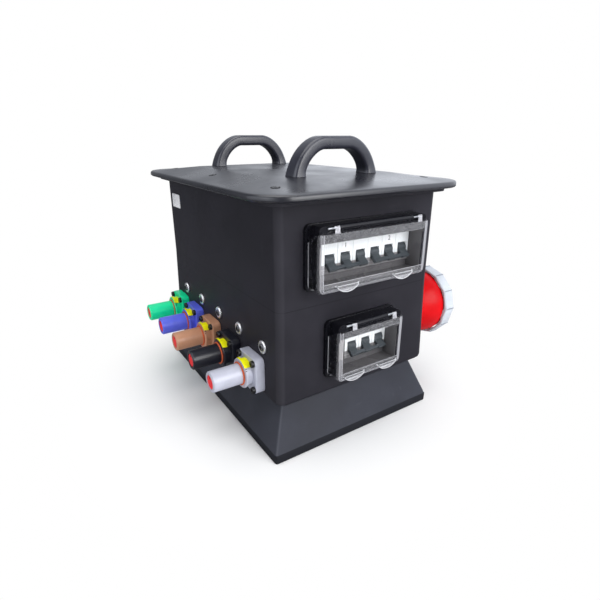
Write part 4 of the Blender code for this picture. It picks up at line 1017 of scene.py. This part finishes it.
@dataclass
class RoundInlet(SubAssembly):
    """The round inlet: red housing, pins, and the lock ring with its grip bars."""

    y: float = -0.145
    z: float = 0.161
    flange_face: float = 0.151407
    screw_offset: float = 0.0435
    screw: ScrewHead = ScrewHead(0.0042, 0.0034, 0.0018, 0.0018, 0.0008)
    ring: Pair = (0.2014, 0.2224)
    ring_radius: float = 0.063
    bars: int = 12
    bar_half: float = 0.0011
    bar_top: float = 0.6
    bar_sunk: float = 0.0012
    bar_proud: float = 0.0005
    bar_ease: float = 0.0004
    bar_ends: Pair = (0.0016, 0.0024)

    def build(self) -> None:
        """Dress the inlet and add its screws and grip bars."""
        self.dress("inlet_housing", INLET_PLASTIC)
        self.dress("inlet_carrier", CARRIER_PLASTIC)
        self.dress("inlet_lock_ring", RING_PLASTIC)
        for number in range(1, 6):
            self.dress("inlet_pin_%d" % number, PIN_NICKEL)
        middle = Vector((self.flange_face, self.y, self.z))
        self.add_corner_screws("inlet", middle, self.screw_offset, RIGHT, self.screw, PIN_STEEL)
        # Each grip bar is coloured darker than the ring as painted shade.
        for index in range(self.bars):
            turn = 2 * math.pi * index / self.bars
            self.add("ring_bar_%d" % (index + 1), self.bar(turn), RING_RIB_SHADE, "ring_grey", body="lock_ring")

    def bar(self, turn: float) -> Form:
        """Make the grip bar that stands out from the lock ring at this turn, in radians."""
        away = Vector((0.0, math.cos(turn), math.sin(turn)))
        side = RIGHT.cross(away)
        (start, end), (near, far) = self.ring, self.bar_ends
        foot, narrow = self.ring_radius - self.bar_sunk, self.bar_half * self.bar_top
        loops = []
        for x, inset in ((start + near, self.bar_ease), (start + far, 0.0), (end - far, 0.0),
                         (end - near, self.bar_ease)):
            top = self.ring_radius + self.bar_proud - inset
            loops.append(laid(Vector((x, self.y, self.z)), away, side,
                              [(foot, -self.bar_half), (top, -narrow), (top, narrow), (foot, self.bar_half)]))
        return Form().skin(loops)


@dataclass
class Studio:
    """Plain pale floor, soft lamps, white surroundings and the camera at the photograph's place.

    Each lamp has its name, place, aim, side and power in watts. Each sky glare has where along X it starts to
    rise, where it is full, and how much it adds.
    """

    camera_place: Triple = (-0.4059, -0.6647, 0.4516)
    camera_turn: Triple = (69.20, 0.0, -33.194)
    lens: float = 26.23
    lamps: Tuple[Tuple[str, Triple, Triple, float, float], ...] = (
        ("key_lamp", (0.5, -2.1, 1.1), (0.0, 0.0, 0.2), 1.6, 44.0),
        ("top_lamp", (-0.3, -0.1, 2.1), (0.0, 0.0, 0.3), 1.8, 32.0),
        ("side_lamp", (-2.2, -0.9, 1.1), (0.0, 0.0, 0.15), 1.0, 6.5))
    floor_half: float = 6.0
    floor_drop: float = 0.0005
    fade: Pair = (190.0, 420.0)
    floor_lit: Triple = (0.9, 0.9, 0.9)
    floor_mirrored: Triple = (0.25, 0.25, 0.26)
    sky: float = 0.38
    sky_left: float = 0.18
    sky_glare: Tuple[Triple, ...] = ((-0.4, 0.2, 0.45), (0.3, 0.7, 1.15), (-0.55, -0.85, 1.8))
    sky_tint: Shade = (0.88, 0.92, 1.0, 1.0)
    white: Shade = (1.0, 1.0, 1.0, 1.0)

    def build(self) -> None:
        """Set the stage."""
        self.floor()
        self.surroundings()
        for name, place, aim, side, power in self.lamps:
            light = bpy.data.lights.new(name, "AREA")
            light.size = side
            light.energy = power
            made = shown(name, light)
            made.location = place
            made.rotation_euler = (Vector(aim) - Vector(place)).to_track_quat("-Z", "Y").to_euler()
        self.camera()

    def floor(self) -> None:
        """Lay a pale floor that keeps the shadow near the box and is white further out."""
        half = self.floor_half
        mesh = bpy.data.meshes.new("floor")
        mesh.from_pydata([(-half, -half, 0.0), (half, -half, 0.0), (half, half, 0.0), (-half, half, 0.0)], [],
                         [(0, 1, 2, 3)])
        made = shown("floor", mesh)
        made.location.z = -self.floor_drop
        graph = Graph.named("floor_pale")
        x, y, _ = graph.axes()
        far = (x * x + y * y).power(0.5).step(*self.fade)
        tone = graph.blend(graph.mirrored(), self.floor_lit, self.floor_mirrored)
        pale = graph.shader("BsdfDiffuse", {"Color": tone})
        white = graph.shader("Emission", {"Color": self.white, "Strength": 1.0})
        mesh.materials.append(graph.finish(graph.mixed(far * graph.seen(), pale, white)))

    def surroundings(self) -> None:
        """Make the world white where it is seen and soft grey where it only lights."""
        world = bpy.data.worlds.new("surroundings")
        bpy.context.scene.world = world
        graph = Graph(world)
        along = graph.split(graph.node("TexCoord").outputs["Generated"])[0]
        spread = self.sky * (0.6 + 0.8 * along.step(-0.6, 0.6))
        glare: Value = self.sky_left
        for start, end, amount in self.sky_glare:
            glare = glare + along.step(start, end) * amount
        mirrored = graph.mirrored()
        light = mirrored * glare + (1.0 - mirrored) * spread
        soft = graph.shader("Background", {"Color": self.sky_tint, "Strength": light})
        white = graph.shader("Background", {"Color": self.white, "Strength": 1.0})
        graph.finish(graph.mixed(graph.seen(), soft, white))

    def camera(self) -> None:
        """Put the camera where the photograph was taken from."""
        data = bpy.data.cameras.new("camera")
        data.lens = self.lens
        data.sensor_width = 36.0
        made = shown("camera", data)
        made.location = self.camera_place
        made.rotation_euler = tuple(math.radians(angle) for angle in self.camera_turn)
        bpy.context.scene.camera = made


CONNECTOR_START = -0.1425
CONNECTOR_PITCH = 0.0775
BOLT_AHEAD = 0.0237


def make_parts() -> List[SubAssembly]:
    """List every sub-assembly of the box, in the order it is built."""
    parts: List[SubAssembly] = [
        Enclosure(), CarryHandle("handle_front", -0.1318), CarryHandle("handle_rear", 0.1318),
        BreakerWindow("upper", 0.2548, -0.2093, (1, 2), (("1", -0.0335), ("2", 0.0475)),
                      ((261.5, 270.5), (324.3, 335.5)), 21.4),
        BreakerWindow("lower", 0.1143, -0.20988, (3,), (("3", 0.012),), ((121.0, 130.0), (183.8, 195.0)))]
    for number, tint in enumerate(Tint, 1):
        y = CONNECTOR_START + CONNECTOR_PITCH * (number - 1)
        parts += [SinglePoleConnector(number, tint, y), WallBolt(number, y - BOLT_AHEAD)]
    return parts + [RoundInlet()]


def main() -> None:
    """Build the looks, the studio and the camera."""
    logging.basicConfig(level=logging.INFO, format="%(name)s: %(message)s")
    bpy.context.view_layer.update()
    for part in make_parts():
        part.build()
    Studio().build()
    bpy.context.scene.view_settings.view_transform = "Standard"


if __name__ == "__main__":
    main()
